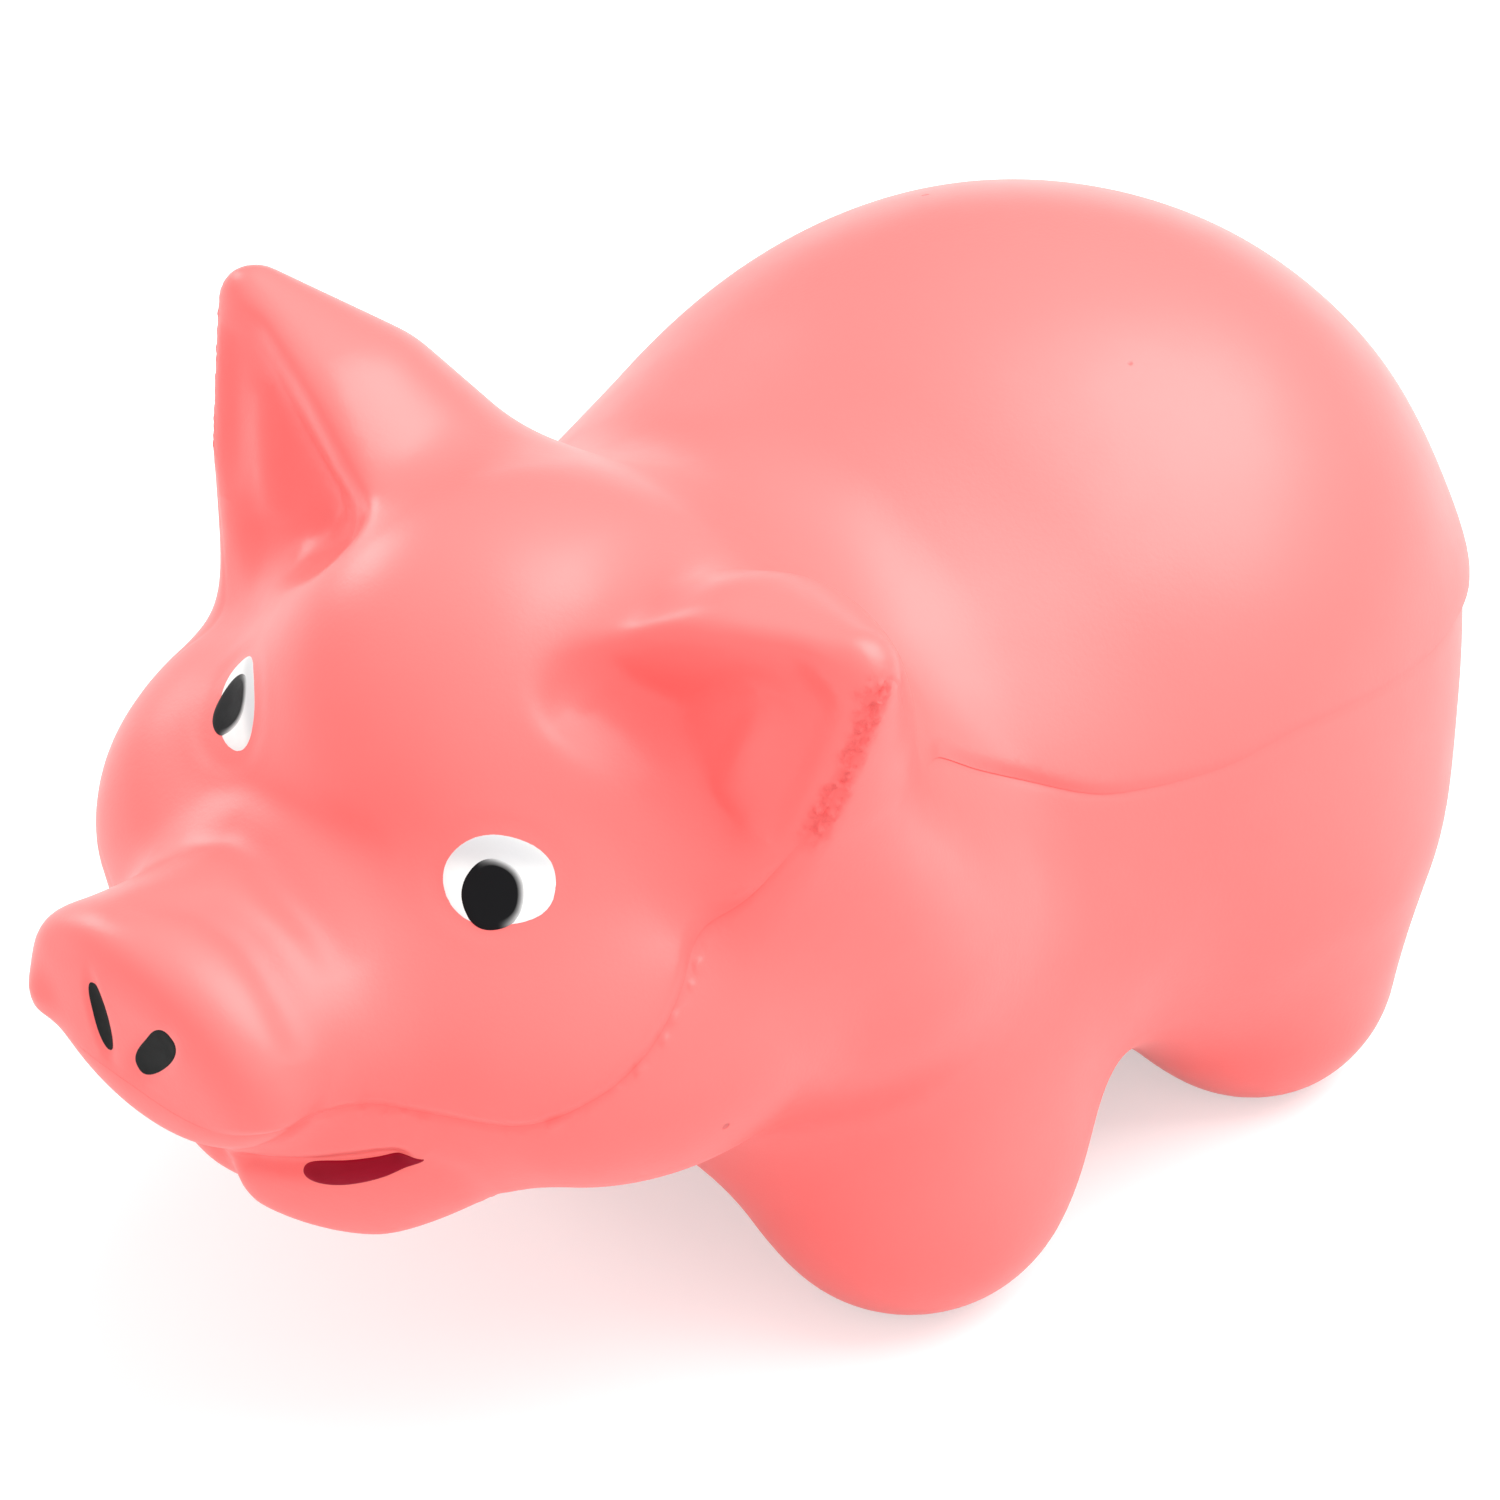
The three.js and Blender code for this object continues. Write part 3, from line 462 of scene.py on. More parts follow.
def above_seam(points, scene):
    inside = smooth_line(SEAM_INSIDE, points[:, 1])
    outside = smooth_line(SEAM_OUTSIDE, points[:, 1])
    aside = np.minimum(np.abs(points[:, 0]) - scene.pig_ears.tip[0], 0) / SEAM_EAR_REACH
    return points[:, 2] - inside - (outside - inside) * np.exp(-aside * aside)


def slide_to_seam(points, scene, steps=5):
    """Moves points over the coat until they lie on the parting line"""
    slid = points.copy()
    for _ in range(steps):
        normal = normals_of(pig_field, slid, scene)
        rise = slope_of(above_seam, slid, scene)
        rise -= np.einsum("ij,ij->i", rise, normal)[:, None] * normal
        steep = np.maximum(np.einsum("ij,ij->i", rise, rise), LEAST_SEAM_SLOPE)
        move = rise * (-above_seam(slid, scene) / steep)[:, None]
        reach = np.maximum(row_norm(move), TINY)
        slid += move * np.minimum(1, STRIDE / reach)[:, None]
        slid = settle(pig_field, slid, scene, steps=1)
    return slid


# Moulded detail: raised or sunk along the normal of the coat

def line_distance(points, line):
    """Distance to a polyline given in mm, and the share of its length at the nearest point"""
    knots = np.array(line) * MM
    spans = np.linalg.norm(np.diff(knots, axis=0), axis=1)
    starts = np.concatenate(((0,), np.cumsum(spans)))
    best = np.full(len(points), np.inf)
    share = np.zeros(len(points))
    for index, span in enumerate(spans):
        edge = knots[index + 1] - knots[index]
        t = np.clip((points - knots[index]) @ edge / (span * span), 0, 1)
        away = row_norm(points - knots[index] - t[:, None] * edge)
        nearer = away < best
        best = np.where(nearer, away, best)
        share = np.where(nearer, (starts[index] + t * span) / starts[-1], share)
    return best, share


def smooth_step(value, low, high):
    t = np.clip((value - low) / (high - low), 0, 1)
    return t * t * (3 - 2 * t)


def zone(places, ends):
    """0 up to the first of two places in mm, 1 past the second, and smooth between them"""
    return smooth_step(places, ends[0] * MM, ends[1] * MM)


def within(places, ends):
    return (places > ends[0] * MM) & (places < ends[1] * MM)


def at_least(floor, share):
    return floor + (1 - floor) * share


def bell(away, reach, power=2):
    return np.exp(-((away / reach) ** power))


def taper(share, fade):
    """Fades a line out to both its ends"""
    return np.sin(np.pi * np.clip(share, 0, 1)) ** fade


def swell(points, line, reach):
    return bell(line_distance(points, line)[0], reach)


def fold_line(points, line, width, height):
    """Soft ridge or groove along a line"""
    away, share = line_distance(points, line)
    return height * bell(away, width) * taper(share, FOLD_TAPER)


# Lines of the detail in mm. Those of the mouth, the sides of the chin and the ears are mirrored, the
# wrinkles lie across the snout, and the rim and the flash of the nose are on its right side only
SNOUT_WRINKLES = (
    ((-10.4, -34.8, 39.5), (-7.3, -34.2, 41.3), (-2.4, -34.8, 42.4), (2.25, -34.9, 42.4),
     (5.4, -34.2, 42.1)),
    ((-9.9, -39.8, 36.5), (-7.7, -39.3, 38.4), (-5, -37.8, 39.9), (-1.7, -38.2, 40.6),
     (2.2, -39.1, 40.4), (4.7, -39.4, 39.8), (7.4, -40.1, 38.5)),
    ((-4.7, -47, 40.45), (-2.5, -45.1, 40.9), (-0.4, -43.7, 40.9), (3.05, -43.4, 40.6),
     (5.7, -43.85, 39.7), (8.7, -44.7, 37.6), (9.5, -45.3, 36.45)),
)
WRINKLE_SHARES = (0.6, 0.85, 1.0)
MOUTH_LINE = (
    (0, -44.8, 23), (2.6, -44.6, 23.4), (4.7, -44.4, 24.4), (6.7, -44, 25.3), (9.25, -42.9, 26.5),
    (11.3, -41.6, 27.3), (13.3, -39.9, 27.8),
)
CHIN_CREASE = ((13.3, -39.9, 27.8), (14.6, -38.6, 26.2), (14.3, -36.6, 23.1), (13, -34.5, 20.5))
CHIN_SWELL = ((2.5, -42.6, 19.6), (8, -39.8, 18.8))
CHIN_CLEFT = ((0, -44.6, 22.8), (0.2, -43.4, 20.4), (0, -41.4, 18.6))
NOSE_RIM = ((-10, -48.4, 37), (-10.4, -48, 33.4))
NOSE_FLASH = ((-8, -49.5, 33.8), (-8.2, -49.4, 33))
TORN_LINE = (
    (27.5, -16.4, 57.7), (27.3, -17.4, 55), (26.6, -18.7, 51), (26.1, -19.4, 49.3),
    (25.3, -20.2, 46.8), (23.8, -21.2, 45),
)
# Across and up on the flat face of an ear
EAR_RIDGE = ((-4.3, -2.8), (-5, -5.4), (-5.9, -7.6), (-7, -10.4))
EAR_VALLEY = ((-0.6, -0.5), (-1, -2.7), (-1.9, -5.6), (-2.8, -8.5), (-3.5, -11))
EAR_CREASE = ((-15.4, -6.2), (-12.6, -8), (-10.6, -9.6))
# Reaches of those lines to their sides
CHIN_REACH = 3.3 * MM
CHIN_CREASE_REACH = 1.1 * MM
CHIN_CLEFT_REACH = 1.2 * MM
NOSE_RIM_REACH = 2.6 * MM
NOSE_FLASH_REACH = 1.3 * MM
EAR_RIDGE_REACH = 1.5 * MM
EAR_VALLEY_REACH = 1.2 * MM
EAR_CREASE_REACH = 1.3 * MM
FOLD_TAPER = 0.5

# Curl of the tail: middle and radii in mm, start and length in turns
TAIL_MIDDLE = (0, 32.8)
TAIL_RADII = (3.2, 1.3)
TAIL_START = 0.25
TAIL_TURNS = 1.2
TAIL_POINTS = 28
TAIL_THINNING = 0.3
TAIL_ROUND = 3

# Slow swells of the coat: waves along x, y and z in radians per metre, and their start
SWELLS = ((210, 160, 120, 0.4), (-130, 250, 190, 1.7), (330, -210, 260, 2.9), (-390, 310, 410, 0.8))

# The moulded eye, in shares of its half width: edge of the bulge, place and width of groove and ring
EYE_EDGE = 0.95
EYE_GROOVE = (1.15, 0.13)
EYE_RING = (1.45, 0.2)
EYE_GROOVE_SHARE = 0.8
EYE_REACH = 3 * MM

# Edge of a nostril's pit in shares of the spot, and how the wrinkles fade, bank up and fall off
NOSTRILS = ("left_nostril", "right_nostril")
PIT_EDGE = 1.15
FLAT_TOP = 4
WRINKLE_TAPER = 0.6
WRINKLE_BANK = 0.45
WRINKLE_FALL = 0.6

# Zones in mm across, along or up the pig, over which something comes in
PIT_ALONG = (-42, -46)
MOUTH_ACROSS = (1, 3.2)
LIP_ACROSS = (10, 3)
LIP_MIDDLE_ACROSS = (3, -1)
CHIN_ACROSS = (-2, 2)
TAIL_ALONG = (36, 42)
SWELLS_UP = (0, 3)
TORN_ACROSS = (-1, 1)
EAR_BACK_ALONG = (-16, -13)
SHOULDER_ALONG = (-3, -8)
SEAM_ACROSS = (-12, 0)
SEAM_ALONG = (-49, -43)
FLASH_FRONT_ALONG = (-47, -42)
FLASH_BACK_ALONG = (-22, -27)
STEP_UP = (46, 42)
STEP_ACROSS = (5, 12)
LIP_STEP_ALONG = (-30, -38)
LIP_STEP_ACROSS = (-9, -1)

# What is left of the detail past those zones, and at the far end of a wrinkle
WRINKLE_FAR = 0.5
MOUTH_FAR = 0.12
CHIN_FAR = 0.1
TORN_FAR = 0.3
SEAM_FAR = 0.5
SEAM_ON_NOSE = 0.35

# Share of the mouth's line over which its end fades
MOUTH_END = 0.12

# Torn foam: its ragged edge, the shares of its line over which its ends fade, and its lumps
TORN_RAGGED = 0.5
TORN_PATCH = 3.1 * MM
TORN_TOP = (-0.02, 0.06)
TORN_FOOT = (0.08, 0.3)
TORN_GRAIN = 1.3 * MM
TORN_SINK = 0.1

# Bits of flash: their size, how sharply they end and how far they are apart
FLASH_BIT = 2.4 * MM
FLASH_GAIN = 2.2
FLASH_GAPS = 0.15

# Irregular lumps: a second, turned set of waves at its own pace
LUMP_AXES = np.array(((0.36, 0.48, -0.8), (-0.8, 0.6, 0.0), (0.48, 0.64, 0.6)))
LUMP_PACE = 1.7
LUMP_START = 1.3
LUMP_PEAK = 6

# Where the seam is finer than the faces: along the face and the flank, on the left, and the tail
FINE_FRONT = (-50, -22)
FINE_FLANK = (-16, 30)
FINE_SIDE = 5 * MM
FINE_BACK = 36 * MM

# Step at the parting line: its reach, the bevel's share below the line, the place from which it
# fades along the flank, and the flare at the rump
STEP_REACH = 6 * MM
BEVEL_BELOW = 0.3
FLANK_START = -6 * MM
FLANK_REACH = 14 * MM
FLARE_PLACE = 41 * MM
FLARE_LENGTH = 5 * MM
FLARE_REACH = 3.2 * MM


def spot_axes(middle, scene):
    """A point of the coat, and the directions to the right, up and out there"""
    spot = settle(pig_field, np.array((middle,)), scene)
    out = normals_of(pig_field, spot, scene)[0]
    right = np.cross((0, 0, 1), out)
    right /= np.linalg.norm(right)
    return spot[0], np.array((right, np.cross(out, right), out))


def ear_line(ears, line):
    foot, axes = ear_axes(ears)
    return [(foot + a * MM * axes[0] + b * MM * axes[1]) / MM for a, b in line]


def tail_line():
    line = []
    for index in range(TAIL_POINTS):
        share = index / (TAIL_POINTS - 1)
        turn = math.tau * (TAIL_START + TAIL_TURNS * share)
        radius = TAIL_RADII[0] + (TAIL_RADII[1] - TAIL_RADII[0]) * share
        line.append((TAIL_MIDDLE[0] + radius * math.cos(turn), 0,
                     TAIL_MIDDLE[1] + radius * math.sin(turn)))
    return line


def tail_distance(points):
    return line_distance(points * np.array((1, 0, 1)), tail_line())


def eye_relief(both, scene):
    face = scene.pig_face
    middle, axes = spot_axes(face.eye, scene)
    across, up, out = ((both - middle) @ axes.T).T
    reach = np.hypot(across / face.eye_width, up / face.eye_height)
    bulge = face.eye_bulge * bell(reach, EYE_EDGE, FLAT_TOP)
    groove = -EYE_GROOVE_SHARE * face.eye_ring * bell(reach - EYE_GROOVE[0], EYE_GROOVE[1])
    ring = face.eye_ring * bell(reach - EYE_RING[0], EYE_RING[1])
    return (bulge + groove + ring) * bell(out, EYE_REACH, FLAT_TOP)


def pit_relief(points, scene):
    relief = np.zeros(len(points))
    on_nose = zone(points[:, 1], PIT_ALONG)
    for name in NOSTRILS:
        spot = SPOTS[name]
        middle, axes = spot_axes(np.array(spot.middle) * MM, scene)
        reach = np.hypot(*spot_place(spot, points, middle, axes))
        relief -= scene.pig_face.nostril_pit * on_nose * bell(reach, PIT_EDGE, FLAT_TOP)
    return relief


def wrinkle_relief(points, scene):
    face = scene.pig_face
    relief = np.zeros(len(points))
    for line, share in zip(SNOUT_WRINKLES, WRINKLE_SHARES):
        away, along = line_distance(points, line)
        deep = share * face.wrinkle * taper(along, WRINKLE_TAPER) * at_least(WRINKLE_FAR, along)
        wave = (away / face.wrinkle_width) ** 2
        relief -= deep * (1 - WRINKLE_BANK * wave) * np.exp(-WRINKLE_FALL * wave)
    return relief


def mouth_relief(points, both, face):
    """The groove of the mouth, faint past the middle, and the hollow under the lip"""
    away, along = line_distance(both, MOUTH_LINE)
    deep = smooth_step(1 - along, 0, MOUTH_END)
    deep *= at_least(MOUTH_FAR, zone(points[:, 0], MOUTH_ACROSS))
    hollow = face.lip_depth * zone(both[:, 0], LIP_ACROSS)
    hollow += face.lip_middle * zone(points[:, 0], LIP_MIDDLE_ACROSS)
    return -face.mouth_depth * deep * bell(away, face.mouth_width) - hollow * bell(away, face.lip_width)


def tail_relief(points, face):
    away, along = tail_distance(points)
    thin = 1 - TAIL_THINNING * along
    curl = thin * face.tail * bell(away, thin * face.tail_width, TAIL_ROUND)
    return curl * zone(points[:, 1], TAIL_ALONG)


def moulded_detail(points, scene):
    face, ears = scene.pig_face, scene.pig_ears
    both = folded(points)
    relief = wrinkle_relief(points, scene) + eye_relief(both, scene) + pit_relief(points, scene)
    relief += mouth_relief(points, both, face) + tail_relief(points, face)
    chin = face.chin * at_least(CHIN_FAR, zone(points[:, 0], CHIN_ACROSS))
    relief += chin * swell(both, CHIN_SWELL, CHIN_REACH)
    relief += face.nose_rim * swell(points, NOSE_RIM, NOSE_RIM_REACH)
    relief += face.nose_flash * swell(points, NOSE_FLASH, NOSE_FLASH_REACH)
    folds = (
        (both, CHIN_CREASE, CHIN_CREASE_REACH, -face.chin_crease),
        (points, CHIN_CLEFT, CHIN_CLEFT_REACH, -face.chin_cleft),
        (both, ear_line(ears, EAR_RIDGE), EAR_RIDGE_REACH, face.ear_ridge),
        (both, ear_line(ears, EAR_VALLEY), EAR_VALLEY_REACH, -face.ear_crease),
        (both, ear_line(ears, EAR_CREASE), EAR_CREASE_REACH, -face.ear_crease),
    )
    for fold in folds:
        relief += fold_line(*fold)
    slow = face.unevenness / len(SWELLS) * zone(points[:, 2], SWELLS_UP)
    for *waves, start in SWELLS:
        relief += slow * np.sin(points @ np.array(waves) + start)
    return relief


def lumps(points, size):
    """Irregular lumps between -1 and 1"""
    pace = math.tau / size
    a, b, c = (np.sin(pace * points) + np.sin(LUMP_PACE * pace * (points @ LUMP_AXES) + LUMP_START)).T
    return (a * b + b * c + c * a) / LUMP_PEAK


def torn_share(points, scene):
    """How far the coat is torn off along the trimmed rim of an ear"""
    away, along = line_distance(folded(points), TORN_LINE)
    ragged = 1 + TORN_RAGGED * lumps(points, TORN_PATCH)
    ends = smooth_step(along, *TORN_TOP) * smooth_step(1 - along, *TORN_FOOT)
    near_side = at_least(TORN_FAR, zone(points[:, 0], TORN_ACROSS))
    return near_side * ends * bell(away, ragged * scene.pig_coat.torn_width, FLAT_TOP)


def behind_ear(points):
    """0 where the parting line climbs the back of an ear, 1 elsewhere"""
    return 1 - zone(points[:, 1], EAR_BACK_ALONG) * zone(points[:, 1], SHOULDER_ALONG)


def seam_share(points):
    """How plain the parting line is: faint on the nose and on the far side"""
    near_side = at_least(SEAM_FAR, zone(points[:, 0], SEAM_ACROSS))
    return near_side * at_least(SEAM_ON_NOSE, zone(points[:, 1], SEAM_ALONG)) * behind_ear(points)


def seam_relief(points, scene):
    """The groove of the parting line, the flash left on the cheek and the torn foam"""
    coat = scene.pig_coat
    gap = above_seam(points, scene)
    groove = -coat.seam_groove * bell(gap, coat.seam_width) * seam_share(points)
    cheek = zone(points[:, 1], FLASH_FRONT_ALONG) * zone(points[:, 1], FLASH_BACK_ALONG)
    cheek *= zone(points[:, 0], SEAM_ACROSS)
    bits = np.clip(lumps(points, FLASH_BIT) * FLASH_GAIN - FLASH_GAPS, 0, 1)
    under = bell(gap + coat.seam_width, coat.seam_width)
    torn = coat.torn * torn_share(points, scene) * (lumps(points, TORN_GRAIN) - TORN_SINK)
    return groove + coat.flash * cheek * bits * under + torn


def mould_step(points, scene):
    """The upper half's bevelled step at the parting line: proud on the near flank and flared out at
    the rump, and set back at the lip"""
    coat = scene.pig_coat
    x, y, z = points.T
    gap = above_seam(points, scene)
    nearby = bell(gap, STEP_REACH) * behind_ear(points) * zone(z, STEP_UP)
    nearby *= smooth_step(gap, -BEVEL_BELOW * coat.step_bevel, coat.step_bevel)
    near_side = zone(x, STEP_ACROSS)
    flank = coat.flank_step * near_side * bell(np.maximum(y - FLANK_START, 0), FLANK_REACH)
    lip = coat.lip_step * zone(y, LIP_STEP_ALONG) * zone(x, LIP_STEP_ACROSS)
    flare = coat.rump_step * near_side * bell(y - FLARE_PLACE, FLARE_LENGTH) * bell(gap, FLARE_REACH)
    return (flank - lip) * nearby + flare


def on_coat(points, scene, upper, lift=0.0):
    """Points of the plain form moved to the finished coat, and as far above it as lift says"""
    normal = normals_of(pig_field, points, scene)
    relief = moulded_detail(points, scene) + seam_relief(points, scene) + lift
    if upper:
        relief = relief + mould_step(points, scene)
    return points + normal * relief[:, None]


SPOT_SIDES = 96
SPOT_RINGS = (0.025, 0.035, 0.06, 0.1, 0.14, 0.18, 0.2)
SPOT_CROWN = 16
SPOT_SINK = 0.03 * MM
SPOT_WOBBLE = 0.012
SPOT_WAVES = (3, 5)
# Where the paint turns to its second tint, in shares of a spot: painted shade at the top of an eye,
# and thin paint at the rim and one side of a pupil and at the rim of the mouth
EYE_SHADED_TOP = (0.05, 0.6)
PUPIL_RIM = (0.78, 1.02)
PUPIL_SIDE = (-0.2, 0.7)
PUPIL_LEAN = 0.4
MOUTH_RIM = (0.75, 1.0)
MOUTH_THIN = 0.6

# Painted spots: middle in mm, half width and height in mm, lean in degrees, squareness of the
# outline, taper to its foot, wedge to its right end and bow of its middle
Spot = namedtuple("Spot", "middle half lean square taper wedge bow")
SPOTS = {
    "left_eye_white": Spot((11.4, -31.25, 42.35), (3.42, 2.74), 4, 2.1, 0, 0.06, 0),
    "right_eye_white": Spot((-11.05, -31.2, 42.85), (3.3, 2.05), -17, 2.1, 0, 0, 0),
    "left_pupil": Spot((11.43, -31.78, 41.71), (1.9, 2.16), 10, 2, 0, 0, 0),
    "right_pupil": Spot((-11.52, -31.2, 42.36), (1.75, 1.98), 14, 2, 0, 0, 0),
    "left_nostril": Spot((2.15, -50.15, 35.35), (1.02, 2.75), -37, 2.8, 0.14, 0, 0),
    "right_nostril": Spot((-2.5, -50.15, 35.4), (0.72, 2.4), 11.5, 2.6, 0, 0, 0),
    "left_mouth": Spot((10.25, -42.2, 26.2), (4.15, 0.58), 21, 2.2, 0, 0.28, -0.15),
    "right_mouth": Spot((-10.25, -42.2, 26.2), (4.15, 0.58), -21, 2.2, 0, -0.28, -0.15),
}


def spot_turn(spot):
    lean = math.radians(spot.lean)
    return np.array(((math.cos(lean), math.sin(lean)), (-math.sin(lean), math.cos(lean))))


def spot_place(spot, points, middle, axes):
    """Where points lie on a spot, in shares of its half width and height"""
    flat = ((points - middle) @ axes.T)[:, :2] @ spot_turn(spot).T
    return (flat / (np.array(spot.half) * MM)).T


# Meshes

def deselect():
    if bpy.context.object and bpy.context.object.mode != "OBJECT":
        bpy.ops.object.mode_set(mode="OBJECT")
    bpy.ops.object.select_all(action="DESELECT")


def activate(*pieces):
    deselect()
    for piece in pieces:
        piece.select_set(True)
    bpy.context.view_layer.objects.active = pieces[0]


def apply_modifier(piece, kind, **settings):
    activate(piece)
    modifier = piece.modifiers.new(kind.title(), kind)
    for key, value in settings.items():
        setattr(modifier, key, value)
    bpy.ops.object.modifier_apply(modifier=modifier.name)


def points_of(piece):
    flat = np.empty(len(piece.data.vertices) * 3)
    piece.data.vertices.foreach_get("co", flat)
    return flat.reshape(-1, 3)


def set_points(piece, points):
    piece.data.vertices.foreach_set("co", points.astype(np.float32).ravel())
    piece.data.update()


def edges_of(piece):
    flat = np.empty(len(piece.data.edges) * 2, dtype=np.int32)
    piece.data.edges.foreach_get("vertices", flat)
    return flat.reshape(-1, 2)


def mesh_piece(name, points, faces):
    mesh = bpy.data.meshes.new(name)
    mesh.from_pydata(points.tolist(), [], faces)
    mesh.validate()
    piece = bpy.data.objects.new(name, mesh)
    bpy.context.scene.collection.objects.link(piece)
    return piece


def store(piece, name, values):
    """Keeps one value per vertex for the material"""
    layer = piece.data.attributes.new(name, "FLOAT", "POINT")
    layer.data.foreach_set("value", values.astype(np.float32))


def split_faces(piece, chosen, cuts):
    """Splits the faces whose vertices are all chosen"""
    for elements in (piece.data.vertices, piece.data.edges):
        elements.foreach_set("select", np.zeros(len(elements), bool))
    piece.data.polygons.foreach_set("select", [all(chosen[v] for v in face.vertices)
                                               for face in piece.data.polygons])
    activate(piece)
    bpy.context.tool_settings.mesh_select_mode = (False, False, True)
    bpy.ops.object.mode_set(mode="EDIT")
    bpy.ops.mesh.subdivide(number_cuts=cuts)
    bpy.ops.object.mode_set(mode="OBJECT")


def relaxed(points, edges, share=0.5):
    total = np.zeros_like(points)
    count = np.zeros(len(points))
    for a, b in (edges.T, edges.T[::-1]):
        np.add.at(total, a, points[b])
        np.add.at(count, a, 1)
    mean = total / np.maximum(count, 1)[:, None]
    return np.where(count[:, None] > 0, points + share * (mean - points), points)


def hull_of_balls(balls, stretch=1.0):
    """Adds the hull of a few balls as one object, so a leg, a web or an ear is blocked out"""
    deselect()
    for index, (centre, radius) in enumerate(balls):
        bpy.ops.mesh.primitive_ico_sphere_add(subdivisions=BALL_FINENESS, radius=radius, location=centre)
        if index == 0:
            bpy.ops.object.transform_apply(location=True, rotation=True, scale=True)
            bpy.ops.object.mode_set(mode="EDIT")
    bpy.ops.mesh.select_all(action="SELECT")
    bpy.ops.mesh.convex_hull()
    bpy.ops.object.mode_set(mode="OBJECT")
    piece = bpy.context.object
    piece.scale.x = stretch
    bpy.ops.object.transform_apply(location=True, rotation=True, scale=True)
    return piece


def oval_block(centre, radii, pitch=0.0):
    deselect()
    bpy.ops.mesh.primitive_ico_sphere_add(subdivisions=OVAL_FINENESS, radius=1, location=centre,
                                          rotation=(pitch, 0, 0), scale=radii)
    bpy.ops.object.transform_apply(location=True, rotation=True, scale=True)
    return bpy.context.object


def mirrored_places(*places):
    for side in (1, -1):
        yield [Vector((side * p[0], p[1], p[2])) for p in places]


def cut_face(piece, ears, side):
    """Cuts the flat face of an ear"""
    foot, axes = ear_axes(ears)
    mirror = np.array((side, 1, 1))
    activate(piece)
    bpy.ops.object.mode_set(mode="EDIT")
    bpy.ops.mesh.select_all(action="SELECT")
    bpy.ops.mesh.bisect(plane_co=foot * mirror, plane_no=axes[2] * mirror, use_fill=True,
                        clear_outer=True)
    bpy.ops.object.mode_set(mode="OBJECT")


def block_out(scene, voxel, with_ears=True):
    """Blocks the pig out of ovals and hulls, and fuses them into one even skin of quads"""
    body, head, ears = scene.pig_body, scene.pig_head, scene.pig_ears
    blocks = [
        oval_block(body.barrel, body.barrel_radii, body.barrel_pitch),
        oval_block(body.rump, body.rump_radii),
        oval_block(body.chest, body.chest_radii),
        oval_block(head.forehead, head.forehead_radii),
        oval_block(head.neck, head.neck_radii),
        oval_block(head.jaw, head.jaw_radii),
    ]
    snout = ((head.snout_root, head.snout_root_radius), (head.nose, head.nose_radius))
    blocks.append(hull_of_balls(snout, head.snout_widening))
    for cheek, in mirrored_places(head.cheek):
        blocks.append(oval_block(cheek, head.cheek_radii))
    tubes = [
        (body.front_hip, body.front_foot, body.front_hip_radius, body.front_foot_radius),
        (body.rear_hip, body.rear_foot, body.rear_hip_radius, body.rear_foot_radius),
    ]
    if with_ears:
        tubes.append((ears.web_top, ears.web_foot, ears.web_top_radius, ears.web_foot_radius))
    for top, foot, *radii in tubes:
        for places in mirrored_places(top, foot):
            blocks.append(hull_of_balls(zip(places, radii)))
    if with_ears:
        radii = (ears.tip_radius, ears.middle_radius, ears.root_radius)
        for side, balls in zip((1, -1), mirrored_places(ears.tip, ears.middle, ears.root)):
            blocks.append(hull_of_balls(zip(balls, radii)))
            cut_face(blocks[-1], ears, side)
    activate(*blocks)
    bpy.ops.object.join()
    piece = bpy.context.object
    apply_modifier(piece, "REMESH", mode="VOXEL", voxel_size=voxel)
    return piece


def shaped(piece, field, scene, level=0.0, rounds=4):
    """Draws the blocked-out skin onto the blended form, with its vertices spread evenly"""
    points, edges = points_of(piece), edges_of(piece)
    for _ in range(rounds):
        points = settle(field, relaxed(points, edges), scene, level, steps=4)
    set_points(piece, settle(field, points, scene, level, steps=4))


def finish_piece(piece, node, material):
    piece.data.materials.clear()
    piece.data.materials.append(material)
    activate(piece)
    bpy.ops.object.shade_smooth_by_angle(angle=SMOOTH_ANGLE)
    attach(piece, ROOT)
    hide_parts(node)


# Materials: scales of the grain and the clouds of each film, in waves per metre
COAT_FILM = (3600, 70)
FOAM_FILM = (2400, 160)
PAINT_FILM = (3000, 500)
# Detail and roughness of the noise, and where a cloud starts and is full
GRAIN_NOISE = (3, 0.6)
CLOUD_NOISE = (4, 0.55)
CLOUD_EDGE = (0.3, 0.7)

# The coat: its pinholes, the pores of its torn rim, the shares of its tints and of the painted shade in
# pinholes and pores, the heights in its bump, that bump's strength and distance, its roughness and its
# specular level
SPECK_SCALE = 105
SPECK_EDGE = (0.018, 0.034)
PORE_SCALE = 1500
PORE_EDGE = (0.45, 0.65)
CLOUD_TINT = 0.16
TORN_TINT = 0.7
PORE_SHADE = 0.5
SPECK_SHADE = 0.6
GRAIN_HEIGHT = 0.1
PORE_HEIGHT = -0.4
SPECK_HEIGHT = -0.5
COAT_BUMP = (0.6, 0.2 * MM)
COAT_SATIN = (0.37, 0.43)
TORN_DULLNESS = 0.45
COAT_GLOSS = 0.5
# Painted shade: the coat is deeper pink in wrinkles, nostril pits, along the parting line and in the
# hollows of the ears, where shade falls
WRINKLE_SHADE = 0.5
PIT_SHADE = 0.5
SEAM_SHADE = 0.25
HOLLOW_SHADE = 0.4

# The open foam, in the same way, with painted shade in its cells
CELL_SCALE = 1400
CELL_EDGE = (0.2, 0.55)
FOAM_CLOUD_TINT = 0.3
CELL_SHADE = 0.5
CELL_HEIGHT = -0.8
FOAM_GRAIN_HEIGHT = 0.3
FOAM_BUMP = (0.8, 0.3 * MM)
FOAM_DULLNESS = (0.85, 1.0)

# The paints: share and depth of their clouds, their bump and how much their roughness varies
PAINT_CLOUD_TINT = 0.25
PAINT_DULLER = 0.75
PAINT_BUMP = (0.25, 0.03 * MM)
PAINT_VARIATION = 0.1
